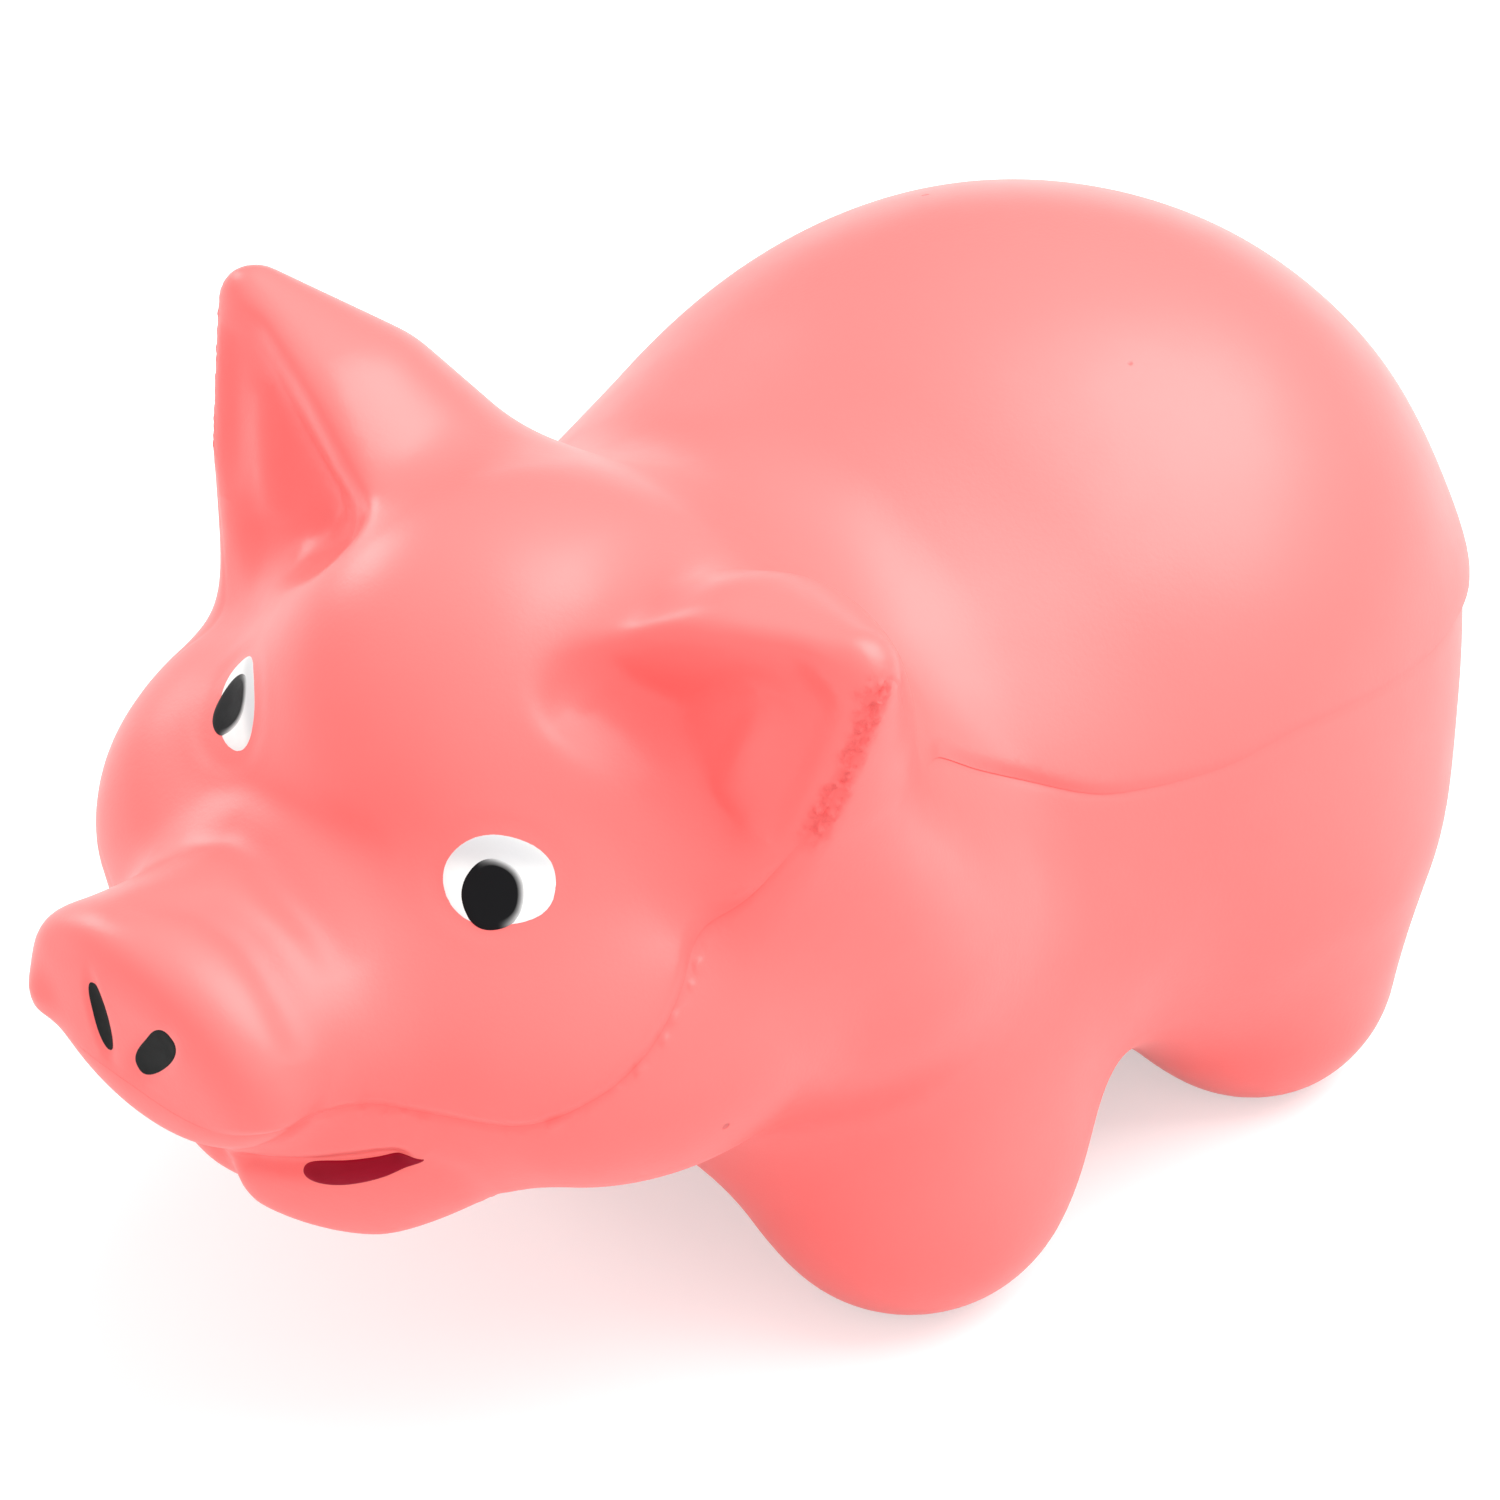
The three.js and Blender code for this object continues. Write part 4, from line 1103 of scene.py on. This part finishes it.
# Roughness and specular level of each paint
WHITE_FINISH = (0.45, 0.4)
PUPIL_FINISH = (0.45, 0.12)
NOSTRIL_FINISH = (0.7, 0.12)
MOUTH_FINISH = (0.5, 0.15)


class Nodes:
    """Adds nodes to a tree and links values or sockets to their inputs"""

    def __init__(self, tree):
        self.tree = tree

    def add(self, kind, inputs=(), **settings):
        node = self.tree.nodes.new("ShaderNode" + kind)
        for key, value in settings.items():
            setattr(node, key, value)
        for key, value in dict(inputs).items():
            if isinstance(value, bpy.types.NodeSocket):
                self.tree.links.new(value, node.inputs[key])
            else:
                node.inputs[key].default_value = value
        return node

    def noise(self, vector, scale, detail, roughness):
        return self.add("TexNoise", {"Vector": vector, "Scale": scale, "Detail": detail,
                                     "Roughness": roughness}).outputs[0]

    def cells(self, vector, scale):
        return self.add("TexVoronoi", {"Vector": vector, "Scale": scale}).outputs["Distance"]

    def spread(self, value, low, high, new_low=0.0, new_high=1.0):
        return self.add("MapRange", {0: value, 1: low, 2: high, 3: new_low, 4: new_high},
                        interpolation_type="SMOOTHSTEP").outputs[0]

    def link(self, socket, node, key):
        self.tree.links.new(socket, node.inputs[key])

    def mask(self, name):
        return self.add("Attribute", attribute_name=name).outputs["Fac"]

    def product(self, first, second):
        return self.add("Math", {0: first, 1: second}, operation="MULTIPLY").outputs[0]

    def total(self, first, second):
        return self.add("Math", {0: first, 1: second}, operation="ADD").outputs[0]

    def film(self, grain, cloud):
        node = self.add("Group", node_tree=film_group())
        node.inputs["Grain Scale"].default_value = grain
        node.inputs["Cloud Scale"].default_value = cloud
        return node.outputs["Height"], node.outputs["Cloud"]

    def mix(self, mask, first, second, share=None):
        """Lays the second colour over the first where the mask says, at most by the share"""
        mask = mask if share is None else self.product(mask, share)
        return self.add("Mix", {0: mask, 6: first, 7: second}, data_type="RGBA").outputs[2]

    def bump(self, height, strength, distance):
        inputs = {"Height": height, "Strength": strength, "Distance": distance}
        return self.add("Bump", inputs).outputs[0]


def rgba(tint):
    return (*tint, 1.0)


def new_material(name):
    material = bpy.data.materials.new(name)
    material.use_nodes = True
    material.node_tree.nodes.clear()
    nodes = Nodes(material.node_tree)
    shader = nodes.add("BsdfPrincipled")
    output = nodes.add("OutputMaterial", {"Surface": shader.outputs[0]})
    output.is_active_output = True
    return material, nodes, shader


def film_group():
    """Node group of a sprayed film: its fine grain and the clouds in its colour"""
    tree = bpy.data.node_groups.get("sprayed_film")
    if tree:
        return tree
    tree = bpy.data.node_groups.new("sprayed_film", "ShaderNodeTree")
    for name in ("Grain Scale", "Cloud Scale"):
        tree.interface.new_socket(name, in_out="INPUT", socket_type="NodeSocketFloat")
    for name in ("Height", "Cloud"):
        tree.interface.new_socket(name, in_out="OUTPUT", socket_type="NodeSocketFloat")
    nodes = Nodes(tree)
    ends = tree.nodes.new("NodeGroupInput").outputs
    where = nodes.add("TexCoord").outputs["Object"]
    grain = nodes.noise(where, ends["Grain Scale"], *GRAIN_NOISE)
    cloud = nodes.spread(nodes.noise(where, ends["Cloud Scale"], *CLOUD_NOISE), *CLOUD_EDGE)
    result = tree.nodes.new("NodeGroupOutput")
    tree.links.new(grain, result.inputs["Height"])
    tree.links.new(cloud, result.inputs["Cloud"])
    return tree


def coat_material(coat):
    material, nodes, shader = new_material("pink_coat")
    where = nodes.add("TexCoord").outputs["Object"]
    grain, cloud = nodes.film(*COAT_FILM)
    fold, torn = nodes.mask("fold"), nodes.mask("torn")
    speck = nodes.spread(nodes.cells(where, SPECK_SCALE), *SPECK_EDGE, 1, 0)
    pores = nodes.spread(nodes.noise(where, PORE_SCALE, *GRAIN_NOISE), *PORE_EDGE)
    pores = nodes.product(torn, pores)
    tint = nodes.mix(cloud, rgba(coat.pink), rgba(coat.shade_and_cloud_pink), CLOUD_TINT)
    # Painted shade: the fold mask makes wrinkles, nostril pits, the parting line and the ear hollows
    # deeper pink
    tint = nodes.mix(fold, tint, rgba(coat.shade_and_cloud_pink))
    tint = nodes.mix(torn, tint, rgba(coat.torn_pink), TORN_TINT)
    # Painted shade in the pores of the torn foam
    tint = nodes.mix(pores, tint, rgba(coat.pore_shade_pink), PORE_SHADE)
    # Painted shade in the pinholes
    tint = nodes.mix(speck, tint, rgba(coat.speck), SPECK_SHADE)
    nodes.link(tint, shader, "Base Color")
    height = nodes.total(nodes.product(grain, GRAIN_HEIGHT), nodes.product(pores, PORE_HEIGHT))
    height = nodes.total(height, nodes.product(speck, SPECK_HEIGHT))
    nodes.link(nodes.bump(height, *COAT_BUMP), shader, "Normal")
    satin = nodes.spread(cloud, 0, 1, *COAT_SATIN)
    nodes.link(nodes.total(satin, nodes.product(torn, TORN_DULLNESS)), shader, "Roughness")
    shader.inputs["Specular IOR Level"].default_value = COAT_GLOSS
    return material


def foam_material(coat):
    material, nodes, shader = new_material("open_foam")
    where = nodes.add("TexCoord").outputs["Object"]
    grain, cloud = nodes.film(*FOAM_FILM)
    cell = nodes.spread(nodes.cells(where, CELL_SCALE), *CELL_EDGE, 1, 0)
    tint = nodes.mix(cloud, rgba(coat.foam), rgba(coat.pink), FOAM_CLOUD_TINT)
    # Painted shade in the foam's cells
    nodes.link(nodes.mix(cell, tint, rgba(coat.shade_and_cloud_pink), CELL_SHADE), shader, "Base Color")
    height = nodes.total(nodes.product(cell, CELL_HEIGHT), nodes.product(grain, FOAM_GRAIN_HEIGHT))
    nodes.link(nodes.bump(height, *FOAM_BUMP), shader, "Normal")
    nodes.link(nodes.spread(cell, 0, 1, *FOAM_DULLNESS), shader, "Roughness")
    return material


def paint_material(name, tint, thin_tint, roughness, gloss):
    """Sprayed paint that turns to its second tint where the mask of the spot says: thin paint on pupils
    and mouth, painted shade at the top of an eye white
    """
    material, nodes, shader = new_material(name)
    shader.inputs["Specular IOR Level"].default_value = gloss
    grain, cloud = nodes.film(*PAINT_FILM)
    tone = nodes.mix(nodes.mask("thin"), rgba(tint), rgba(thin_tint))
    duller = tuple(PAINT_DULLER * channel for channel in tint)
    nodes.link(nodes.mix(cloud, tone, rgba(duller), PAINT_CLOUD_TINT), shader, "Base Color")
    nodes.link(nodes.bump(grain, *PAINT_BUMP), shader, "Normal")
    nodes.link(nodes.spread(cloud, 0, 1, roughness, roughness + PAINT_VARIATION), shader, "Roughness")
    return material


# Operators

class PIG_OT_coat(bpy.types.Operator):
    """Models the two halves of the coat, which meet at the parting line"""

    bl_idname = "pig.coat"
    bl_label = "Coat"

    def execute(self, context):
        scene = context.scene
        coat = scene.pig_coat
        whole = block_out(scene, VOXEL)
        shaped(whole, pig_field, scene)
        halves = self.part(whole, scene)
        bpy.data.objects.remove(whole)
        material = coat_material(coat)
        for name, (points, faces) in zip(("upper_skin", "lower_skin"), halves):
            piece = mesh_piece(name + "_coat", points, faces)
            self.refine(piece, scene, name == "upper_skin")
            finish_piece(piece, name, material)
        return {"FINISHED"}

    def part(self, whole, scene):
        """Draws the nearest vertices onto the parting line, and parts the faces there"""
        points, edges = points_of(whole), edges_of(whole)
        height = above_seam(points, scene)
        a, b = edges.T
        crossing = (height[a] > 0) != (height[b] > 0)
        a, b = a[crossing], b[crossing]
        nearer = np.where(np.abs(height[a]) < np.abs(height[b]), a, b)
        on_seam = np.zeros(len(points), bool)
        on_seam[nearer] = True
        points[on_seam] = slide_to_seam(points[on_seam], scene)
        side = np.where(on_seam, 0, np.sign(height))
        halves = ([], [])
        for polygon in whole.data.polygons:
            corners = list(polygon.vertices)
            sides = [side[corner] for corner in corners]
            if min(sides) < 0 < max(sides):
                first = sides.index(max(sides))
                corners = corners[first:] + corners[:first]
                halves[0].append((corners[3], corners[0], corners[1]))
                halves[1].append((corners[1], corners[2], corners[3]))
            else:
                halves[0 if sum(sides) > 0 else 1].append(tuple(corners))
        return [self.compact(points, faces) for faces in halves]

    @staticmethod
    def compact(points, faces):
        used = sorted({corner for face in faces for corner in face})
        place_of = {corner: index for index, corner in enumerate(used)}
        return points[used], [tuple(place_of[corner] for corner in face) for face in faces]

    def refine(self, piece, scene, upper):
        apply_modifier(piece, "SUBSURF", levels=1, render_levels=1, boundary_smooth="ALL")
        points, edges = points_of(piece), edges_of(piece)
        on_rim = rim_of(piece)
        rim_edges = edges[rim_edge_flags(piece)]
        for _ in range(RELAX_ROUNDS):
            inner = relaxed(points, edges)
            rim = relaxed(points, rim_edges)
            points = np.where(on_rim[:, None], rim, inner)
            points = settle(pig_field, points, scene, steps=2)
            points[on_rim] = slide_to_seam(points[on_rim], scene, steps=3)
        set_points(piece, points)
        split_faces(piece, self.fine_places(points, scene), DETAIL_CUTS)
        points = settle(pig_field, points_of(piece), scene, steps=3)
        on_rim = rim_of(piece)
        points[on_rim] = slide_to_seam(points[on_rim], scene, steps=3)
        self.keep_masks(piece, points, scene)
        apply_modifier(piece, "SOLIDIFY", thickness=scene.pig_coat.skin, offset=-1, use_rim=True)
        inner = points - scene.pig_coat.skin * normals_of(pig_field, points, scene)
        set_points(piece, np.concatenate((on_coat(points, scene, upper), inner)))

    @staticmethod
    def fine_places(points, scene):
        """Where the detail is finer than the faces"""
        both = folded(points)
        fine = line_distance(both, TORN_LINE)[0] < FINE_REACH
        fine |= line_distance(both, MOUTH_LINE)[0] < FINE_REACH
        seam = within(points[:, 1], FINE_FRONT)
        seam |= (points[:, 0] > FINE_SIDE) & within(points[:, 1], FINE_FLANK)
        fine |= seam & (np.abs(above_seam(points, scene)) < FINE_REACH / 2)
        fine |= (tail_distance(points)[0] < FINE_REACH) & (points[:, 1] > FINE_BACK)
        for name in NOSTRILS:
            middle = np.array(SPOTS[name].middle) * MM
            fine |= row_norm(points - middle) < 2 * FINE_REACH
        return fine

    @staticmethod
    def keep_masks(piece, points, scene):
        """Keeps the painted shade in wrinkles, nostril pits, along the parting line and in the ear
        hollows, kept off the ear's ridge, and where the coat is torn
        """
        sunk = np.clip(-wrinkle_relief(points, scene) / scene.pig_face.wrinkle, 0, 1)
        pits = np.clip(-pit_relief(points, scene) / scene.pig_face.nostril_pit, 0, 1)
        parted = bell(above_seam(points, scene), scene.pig_coat.seam_width) * seam_share(points)
        hollow = bell(ear_hollow(folded(points), scene.pig_ears), HOLLOW_SHADE_REACH)
        ridge = ear_line(scene.pig_ears, EAR_RIDGE)
        hollow *= 1 - fold_line(folded(points), ridge, EAR_RIDGE_REACH, 1.0)
        # Painted shade: deeper pink in wrinkles, nostril pits, along the parting line and in the ear
        # hollows
        fold = WRINKLE_SHADE * sunk + PIT_SHADE * pits + SEAM_SHADE * parted + HOLLOW_SHADE * hollow
        store(piece, "fold", np.clip(fold, 0, 1))
        store(piece, "torn", torn_share(points, scene))


def rim_edge_flags(piece):
    count = np.zeros(len(piece.data.edges), dtype=np.int32)
    loop_edges = np.empty(len(piece.data.loops), dtype=np.int32)
    piece.data.loops.foreach_get("edge_index", loop_edges)
    np.add.at(count, loop_edges, 1)
    return count == 1


def rim_of(piece):
    flags = np.zeros(len(piece.data.vertices), bool)
    flags[edges_of(piece)[rim_edge_flags(piece)].ravel()] = True
    return flags


class PIG_OT_core(bpy.types.Operator):
    """Models the foam that fills the coat"""

    bl_idname = "pig.core"
    bl_label = "Foam core"

    def execute(self, context):
        scene = context.scene
        coat = scene.pig_coat
        piece = block_out(scene, CORE_VOXEL, with_ears=False)
        piece.name = "foam_filling"
        shaped(piece, trunk_field, scene, -coat.skin - coat.core_gap)
        finish_piece(piece, "foam_core", foam_material(coat))
        return {"FINISHED"}


def paint_spot(name, scene, material, layers=1, thin=None):
    """Lays one spot of paint on the coat: a disc of rings, crowned, with its rim sunk in"""
    coat, spot = scene.pig_coat, SPOTS[name]
    deselect()
    bpy.ops.mesh.primitive_circle_add(vertices=SPOT_SIDES, radius=1, fill_type="NGON")
    piece = bpy.context.object
    piece.name = name + "_paint"
    bpy.ops.object.mode_set(mode="EDIT")
    for step in SPOT_RINGS:
        bpy.ops.mesh.inset(thickness=step, depth=0)
    bpy.ops.mesh.poke()
    bpy.ops.object.mode_set(mode="OBJECT")
    disc = points_of(piece)[:, :2]
    reach = np.minimum(np.hypot(*disc.T), 1)
    middle, axes = spot_axes(np.array(spot.middle) * MM, scene)
    flat = spot_outline(spot, disc)
    points = middle + flat @ axes[:2]
    points = settle(pig_field, points, scene)
    rim = reach ** SPOT_CROWN
    lift = (layers - rim) * coat.paint - rim * SPOT_SINK
    set_points(piece, on_coat(points, scene, above_seam(points, scene).mean() > 0, lift))
    store(piece, "thin", np.zeros(len(reach)) if thin is None else thin(*disc.T, reach))
    apply_modifier(piece, "SOLIDIFY", thickness=coat.film, offset=-1, use_rim=True)
    finish_piece(piece, name, material)


def spot_outline(spot, disc):
    """A disc of radius 1 drawn out to the outline of a spot, in metres on the coat"""
    bearing = np.arctan2(disc[:, 1], disc[:, 0])
    cosine, sine = np.cos(bearing), np.sin(bearing)
    square = np.abs(cosine) ** spot.square + np.abs(sine) ** spot.square
    wobble = np.sin(SPOT_WAVES[0] * bearing + spot.lean)
    wobble += np.sin(SPOT_WAVES[1] * bearing + spot.middle[0])
    reach = np.hypot(*disc.T) * square ** (-1 / spot.square) * (1 + SPOT_WOBBLE * wobble)
    across, up = reach * cosine, reach * sine
    across = across * (1 + spot.taper * up)
    up = up * spot.half[1] * (1 - spot.wedge * across) + spot.bow * (1 - across * across)
    return np.stack((across * spot.half[0], up), 1) * MM @ spot_turn(spot)


class PIG_OT_eyes(bpy.types.Operator):
    """Paints the eyes: a white spot each, with painted shade at its top, and a pupil with a soft edge on
    it
    """

    bl_idname = "pig.eyes"
    bl_label = "Eyes"

    def execute(self, context):
        scene = context.scene
        coat = scene.pig_coat
        white = paint_material("white_eye_paint", coat.white, coat.shaded_white, *WHITE_FINISH)
        black = paint_material("black_pupil_paint", coat.black, coat.thin_black, *PUPIL_FINISH)
        for side in ("left", "right"):
            paint_spot(side + "_eye_white", scene, white, 1, self.shaded_top)
            paint_spot(side + "_pupil", scene, black, 2, self.soft_edge)
        return {"FINISHED"}

    # Painted shade at the top of an eye white
    @staticmethod
    def shaded_top(across, up, reach):
        return smooth_step(up, *EYE_SHADED_TOP)

    @staticmethod
    def soft_edge(across, up, reach):
        return smooth_step(reach, *PUPIL_RIM) * smooth_step(across + PUPIL_LEAN * up, *PUPIL_SIDE)


class PIG_OT_nostrils(bpy.types.Operator):
    """Paints the nostrils on the flat of the nose"""

    bl_idname = "pig.nostrils"
    bl_label = "Nostrils"

    def execute(self, context):
        scene = context.scene
        coat = scene.pig_coat
        tint = coat.nostril_black
        black = paint_material("black_nostril_paint", tint, tint, *NOSTRIL_FINISH)
        for side in ("left", "right"):
            paint_spot(side + "_nostril", scene, black)
        return {"FINISHED"}


class PIG_OT_mouth(bpy.types.Operator):
    """Paints the two ends of the mouth"""

    bl_idname = "pig.mouth"
    bl_label = "Mouth"

    def execute(self, context):
        scene = context.scene
        coat = scene.pig_coat
        red = paint_material("red_mouth_paint", coat.red, coat.thin_red, *MOUTH_FINISH)
        for side in ("left", "right"):
            paint_spot(side + "_mouth", scene, red, 2, self.thin_ends)
        return {"FINISHED"}

    @staticmethod
    def thin_ends(across, up, reach):
        return smooth_step(reach, *MOUTH_RIM) * MOUTH_THIN


FLOOR_SIZE = 6
FLOOR_GLOW = 0.5
FLOOR_GREY = 0.6
FLOOR_DULLNESS = 0.9
# The soft light comes from above and in front, and is dim behind the pig
LIGHT_SIDE = (0.35, -0.35, 0.87)
LIGHT_EDGE = (-0.6, 0.7)
LIGHT_RANGE = (0.25, 1.1)
LAMP_TARGET = (0, 0.01, 0.04)
# Name, place and size in metres, power in watts
LAMPS = (
    ("key", (0.19, 0.36, 0.71), 0.78, 8.4),
    ("fill", (-0.66, 0.02, 0.26), 0.2, 1.0),
)
# Camera: azimuth, elevation and roll in degrees, what it looks at and how far off in mm, and its
# focal length in pixels of the frame
CAMERA_TURNS = (45.98, 39.21, -1.21)
CAMERA_TARGET = (4.33, -4.39, 32.23)
CAMERA_DISTANCE = 429.61
CAMERA_FOCAL = 7103.4
FRAME_PIXELS = 1500
SENSOR_WIDTH = 36.0
CLIP_START = 0.01


class PIG_OT_stage(bpy.types.Operator):
    """Sets up the floor, the light and the camera"""

    bl_idname = "pig.stage"
    bl_label = "Stage"

    def execute(self, context):
        scene = context.scene
        scene.view_settings.view_transform = "Standard"
        self.add_floor()
        self.add_world(scene)
        self.add_lights()
        self.add_camera(scene)
        return {"FINISHED"}

    def add_floor(self):
        deselect()
        bpy.ops.mesh.primitive_plane_add(size=FLOOR_SIZE)
        floor = bpy.context.object
        floor.name = "floor"
        material, nodes, shader = new_material("pale_floor")
        shader.inputs["Base Color"].default_value = (FLOOR_GREY, FLOOR_GREY, FLOOR_GREY, 1)
        shader.inputs["Roughness"].default_value = FLOOR_DULLNESS
        shader.inputs["Emission Color"].default_value = (1, 1, 1, 1)
        nodes.link(nodes.product(self.seen(nodes), FLOOR_GLOW), shader, "Emission Strength")
        floor.data.materials.append(material)

    @staticmethod
    def seen(nodes):
        """1 for what the camera sees, straight or through gloss and glass"""
        paths = nodes.add("LightPath").outputs
        straight = nodes.total(paths["Is Camera Ray"], paths["Is Glossy Ray"])
        clamped = nodes.add("Clamp", {"Value": nodes.total(straight, paths["Is Transmission Ray"])})
        return clamped.outputs[0]

    def add_world(self, scene):
        world = bpy.data.worlds.new("studio")
        scene.world = world
        world.use_nodes = True
        world.node_tree.nodes.clear()
        nodes = Nodes(world.node_tree)
        where = nodes.add("TexCoord").outputs["Generated"]
        facing = nodes.add("VectorMath", {0: where, 1: LIGHT_SIDE}, operation="DOT_PRODUCT")
        light = nodes.spread(facing.outputs["Value"], *LIGHT_EDGE, *LIGHT_RANGE)
        shade = nodes.add("Background", {"Color": (1, 1, 1, 1), "Strength": light})
        nodes.add("OutputWorld", {"Surface": shade.outputs[0]})

    def add_lights(self):
        for name, spot, size, power in LAMPS:
            lamp = bpy.data.lights.new(name, "AREA")
            lamp.size = size
            lamp.energy = power
            holder = bpy.data.objects.new(name, lamp)
            bpy.context.scene.collection.objects.link(holder)
            holder.location = spot
            towards = Vector(LAMP_TARGET) - Vector(spot)
            holder.rotation_euler = towards.to_track_quat("-Z", "Y").to_euler()

    def add_camera(self, scene):
        azimuth, elevation, roll = (math.radians(turn) for turn in CAMERA_TURNS)
        back = Vector((math.sin(azimuth) * math.cos(elevation),
                       -math.cos(azimuth) * math.cos(elevation), math.sin(elevation)))
        level = Vector((math.cos(azimuth), math.sin(azimuth), 0))
        upright = back.cross(level)
        right = math.cos(roll) * level + math.sin(roll) * upright
        up = math.cos(roll) * upright - math.sin(roll) * level
        lens = bpy.data.cameras.new("camera")
        lens.sensor_width = SENSOR_WIDTH
        lens.lens = CAMERA_FOCAL / FRAME_PIXELS * SENSOR_WIDTH
        lens.clip_start = CLIP_START
        camera = bpy.data.objects.new("camera", lens)
        scene.collection.objects.link(camera)
        turn = Matrix((right, up, back)).transposed().to_4x4()
        spot = (Vector(CAMERA_TARGET) + back * CAMERA_DISTANCE) * MM
        camera.matrix_world = Matrix.Translation(spot) @ turn
        scene.camera = camera


class PIG_PT_panel(bpy.types.Panel):
    """Lists the pieces of the pig"""

    bl_idname = "PIG_PT_panel"
    bl_label = "Foam pig"
    bl_space_type = "VIEW_3D"
    bl_region_type = "UI"
    bl_category = "Pig"

    def draw(self, context):
        for operator in OPERATORS:
            self.layout.operator(operator.bl_idname)
        for group, kind in GROUPS.items():
            box = self.layout.box()
            box.label(text=kind.__name__)
            for key in kind.__annotations__:
                box.prop(getattr(context.scene, group), key)


OPERATORS = (PIG_OT_coat, PIG_OT_core, PIG_OT_eyes, PIG_OT_nostrils, PIG_OT_mouth, PIG_OT_stage)


def register():
    for kind in (*GROUPS.values(), *OPERATORS, PIG_PT_panel):
        bpy.utils.register_class(kind)
    for group, kind in GROUPS.items():
        setattr(bpy.types.Scene, group, PointerProperty(type=kind))


def unregister():
    for group in GROUPS:
        delattr(bpy.types.Scene, group)
    for kind in reversed((*GROUPS.values(), *OPERATORS, PIG_PT_panel)):
        bpy.utils.unregister_class(kind)


def main():
    register()
    bpy.ops.pig.coat()
    bpy.ops.pig.core()
    bpy.ops.pig.eyes()
    bpy.ops.pig.nostrils()
    bpy.ops.pig.mouth()
    bpy.ops.pig.stage()


if __name__ == "__main__":
    main()
